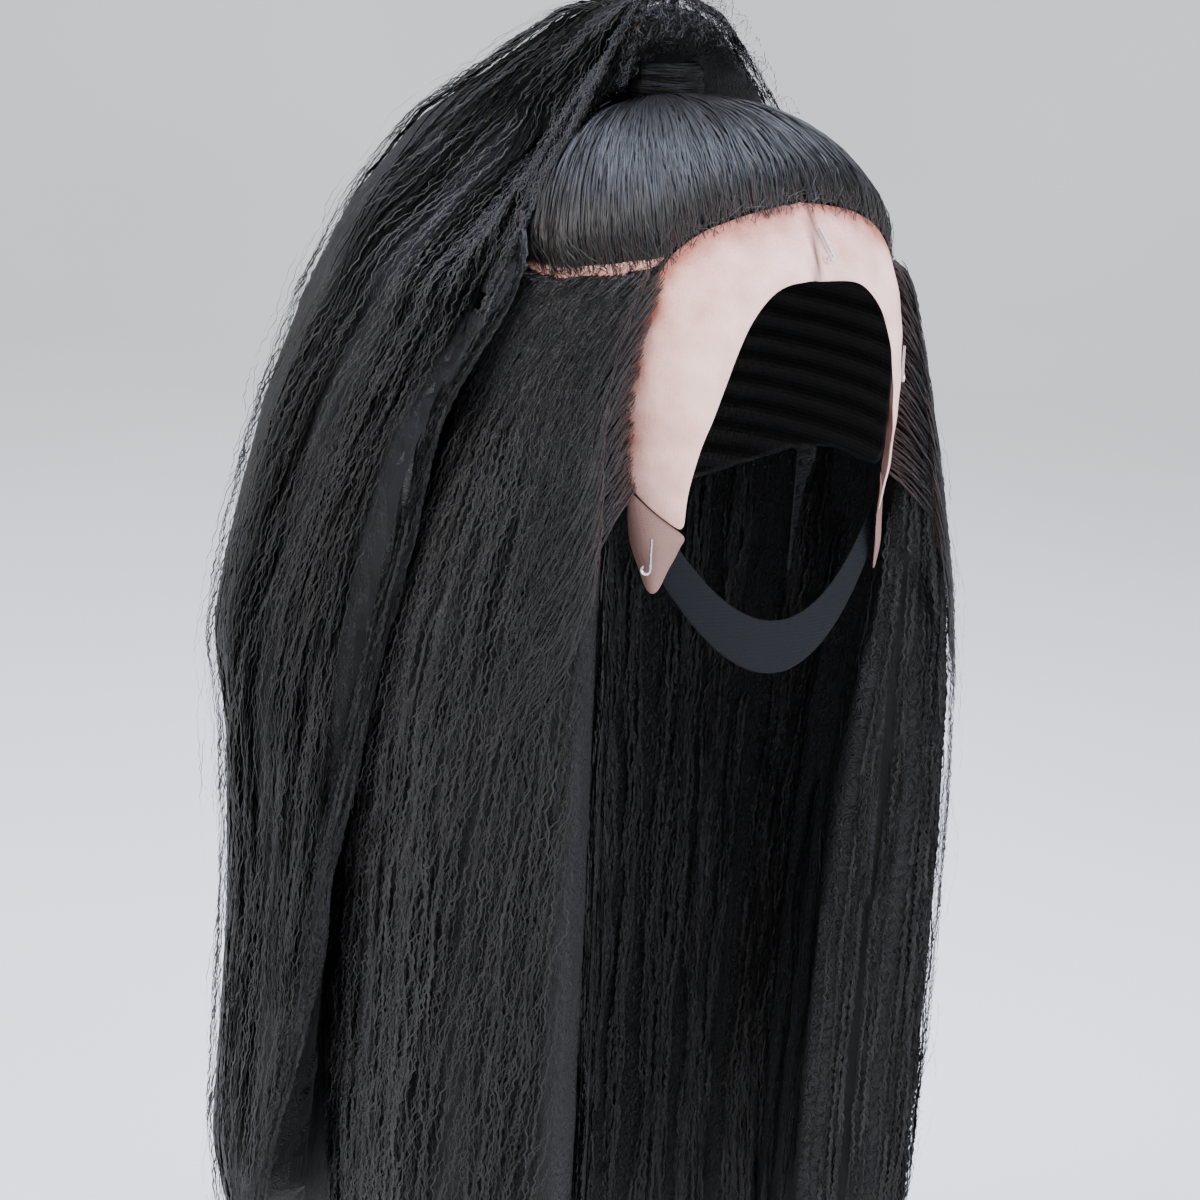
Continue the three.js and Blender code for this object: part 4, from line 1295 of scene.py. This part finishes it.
class WIG_OT_hanging_hair(bpy.types.Operator):
    """Lets the crimped locks hang at the sides and the back"""

    bl_idname = "wig.hanging_hair"
    bl_label = "Hanging hair"

    def execute(self, context):
        hair = context.scene.wig_hair
        rng = np.random.default_rng(37)
        outer, inner = hanging_grids()
        material, shaded = crimped_materials("hanging", hair)
        for name, part in HANGING_PIECES.items():
            mass = f"{name}_hair_mass"
            add_core(part["node"], mass, CORE_INSET, CORE_GRAIN, [outer, inner], shaded)

            def plan(index):
                """One lock of this part."""
                face = rng.choice(list(part["zones"]), p=list(part["zones"].values()))
                start = 0.0 if index % 3 == 0 else rng.uniform(0.0, 0.45)
                lock = {
                    **LOCK,
                    "centre": rng.uniform(*part["span"]),
                    "half_width": 0.012,
                    "round": False,
                    "face": face,
                    "start": start,
                    "end": rng.uniform(0.92, 1.0),
                    "slant": part["slant"],
                    "sink": 0.0015 if start == 0.0 else 0.007,
                }
                if face == "in":
                    lock["stretch"] = 1.5
                    if name == "back" and index % 5 == 0:
                        lock["centre"] = rng.uniform(0.69, 0.72)
                    lock["mix"] = 1.0
                    lock["layers"] = 0.002
                    lock["start"] = rng.uniform(0.12, 0.45)
                if face == "edge":
                    lock["mix"] = rng.uniform(0.0, 1.0)
                    inland = 0.004 + 0.012 * (lock["mix"] > 0.75) * rng.uniform(0, 1)
                    lock["centre"] = inland if name == "right" else 1.0 - inland
                    lock["half_width"] = 0.004
                    lock["slant"] = 0.0
                    lock["layers"] = 0.002
                    lock["start"] = 0.02 + 0.3 * lock["mix"] * rng.uniform(0.5, 1.0)
                return lock

            bundles = fill_with_locks(rng, outer, inner, part["triangles"], plan, hair)
            fine = {
                **FINE_HAIRS,
                "count": part["fine"],
                "span": part["span"],
                "rows": (0.02, 0.92),
                "slant": part["fine_slant"],
                "arch": 0.002,
                "round": False,
            }
            wild = {**fine, "count": 90, "steps": 24, "arch": 0.009, "width": 0.5}
            bundles += [(loose_hairs(rng, outer, patch, hair), 0.0) for patch in (fine, wild)]
            if "edge" in part["zones"]:
                front, slant = (0.0, 0.035) if name == "right" else (1.0, -0.035)
                for roots, across, down in lace_roots(rng, outer, front):
                    strands = rooted_strands(rng, roots, outer, across, down, slant, hair)
                    bundles.append((strands, 0.2))
            piece = ribbon_piece(f"{name}_locks", bundles, material)
            finish_piece(piece, part["node"], slot="hair")
        return {"FINISHED"}


class WIG_OT_stage(bpy.types.Operator):
    """Sets the pale sweep, the soft lights and the camera"""

    bl_idname = "wig.stage"
    bl_label = "Stage"

    def execute(self, context):
        scene = context.scene
        make_sweep()
        make_lights(scene)
        make_camera(scene)
        return {"FINISHED"}


def make_sweep():
    """A pale floor that curves up into a backdrop, far behind the wig."""
    half = 4.0
    depth = 3.0
    bend = 1.2
    floor = CAD_LOW[2] - 0.08
    profile = [(-half, floor), (depth, floor)]
    for step in range(1, 13):
        turn = math.pi / 2 * step / 12
        profile.append((depth + bend * math.sin(turn), floor + bend * (1 - math.cos(turn))))
    profile.append((depth + bend, floor + 5.0))
    corners = [(side * half, y, z) for y, z in profile for side in (-1, 1)]
    faces = [(2 * i, 2 * i + 1, 2 * i + 3, 2 * i + 2) for i in range(len(profile) - 1)]
    mesh = bpy.data.meshes.new("studio_sweep")
    mesh.from_pydata(corners, [], faces)
    material, tree, shader = new_material("pale_paper")
    grain = noise(tree, object_place(tree), 1.1, 2.0)
    colour = colour_ramp(tree, grain, [(0.3, linear("#dededd")), (0.7, linear("#e8e8e7"))])
    feed(tree, shader, Base_Color=colour, Roughness=0.9)
    mesh.materials.append(material)
    sweep = new_object("studio_sweep", mesh)
    for face in mesh.polygons:
        face.use_smooth = True
    mesh.transform(Matrix.Rotation(CAMERA_AZIMUTH, 4, "Z"))
    sweep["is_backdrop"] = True


def make_lights(scene):
    """Soft daylight from all round, with a broad window in front and one above behind."""
    world = bpy.data.worlds.new("soft_daylight")
    world.use_nodes = True
    background = world.node_tree.nodes["Background"]
    background.inputs["Color"].default_value = linear("#dfe4ea")
    background.inputs["Strength"].default_value = 1.2
    scene.world = world
    windows = (
        ("front_window", (0.5, -1.5, 0.55), 1.3, 42.0, "#f4f6ff"),
        ("top_window", (0.0, 0.1, 1.6), 1.4, 90.0, "#d6e2ff"),
        ("side_window", (-1.6, 0.3, 1.0), 1.1, 50.0, "#fff6ee"),
    )
    for name, place, size, power, colour in windows:
        light = bpy.data.lights.new(name, "AREA")
        light.size = size
        light.energy = power
        light.color = linear(colour)[:3]
        lamp = bpy.data.objects.new(name, light)
        lamp.location = place
        aim = Vector((0, 0, -0.2)) - Vector(place)
        lamp.rotation_euler = aim.to_track_quat("-Z", "Y").to_euler()
        scene.collection.objects.link(lamp)


def make_camera(scene):
    """A camera to the wearer's right front, a little above, leaning by a few degrees."""
    azimuth = CAMERA_AZIMUTH
    elevation = math.radians(15)
    lean = math.radians(3)
    distance = 1.15
    frame_width = 0.5
    aim = Vector((-0.060, -0.024, -0.196))
    right = Vector((math.cos(azimuth), math.sin(azimuth), 0))
    back = Vector(
        (
            math.sin(azimuth) * math.cos(elevation),
            -math.cos(azimuth) * math.cos(elevation),
            math.sin(elevation),
        )
    )
    up = back.cross(right)
    leaned_right = right * math.cos(lean) + up * math.sin(lean)
    leaned_up = back.cross(leaned_right)
    data = bpy.data.cameras.new("camera")
    data.sensor_width = 36.0
    data.lens = data.sensor_width * distance / frame_width
    data.clip_end = 30.0
    camera = bpy.data.objects.new("camera", data)
    turned = Matrix((leaned_right, leaned_up, back)).transposed().to_4x4()
    camera.matrix_world = Matrix.Translation(aim + back * distance) @ turned
    scene.collection.objects.link(camera)
    scene.camera = camera


class WIG_PT_panel(bpy.types.Panel):
    """Lists the steps that dress the wig"""

    bl_idname = "WIG_PT_panel"
    bl_label = "Lace front wig"
    bl_space_type = "VIEW_3D"
    bl_region_type = "UI"
    bl_category = "Wig"

    def draw(self, context):
        for operator in OPERATORS:
            self.layout.operator(operator.bl_idname)
        for settings in (context.scene.wig_hair, context.scene.wig_cloth):
            for name in settings.__annotations__:
                self.layout.prop(settings, name)


OPERATORS = (
    WIG_OT_stage,
    WIG_OT_cap,
    WIG_OT_lace,
    WIG_OT_band,
    WIG_OT_pins,
    WIG_OT_swept_hair,
    WIG_OT_wrap,
    WIG_OT_ponytail,
    WIG_OT_hanging_hair,
)
CLASSES = (WigHairSettings, WigClothSettings, *OPERATORS, WIG_PT_panel)


def register():
    """Registers the classes and the settings."""
    for item in CLASSES:
        bpy.utils.register_class(item)
    bpy.types.Scene.wig_hair = bpy.props.PointerProperty(type=WigHairSettings)
    bpy.types.Scene.wig_cloth = bpy.props.PointerProperty(type=WigClothSettings)


def unregister():
    """Removes the settings and the classes."""
    del bpy.types.Scene.wig_hair
    del bpy.types.Scene.wig_cloth
    for item in reversed(CLASSES):
        bpy.utils.unregister_class(item)


def main():
    """Dresses the wig step by step."""
    register()
    bpy.ops.wig.stage()
    bpy.ops.wig.cap()
    bpy.ops.wig.lace()
    bpy.ops.wig.band()
    bpy.ops.wig.pins()
    bpy.ops.wig.swept_hair()
    bpy.ops.wig.wrap()
    bpy.ops.wig.ponytail()
    bpy.ops.wig.hanging_hair()


if __name__ == "__main__":
    main()
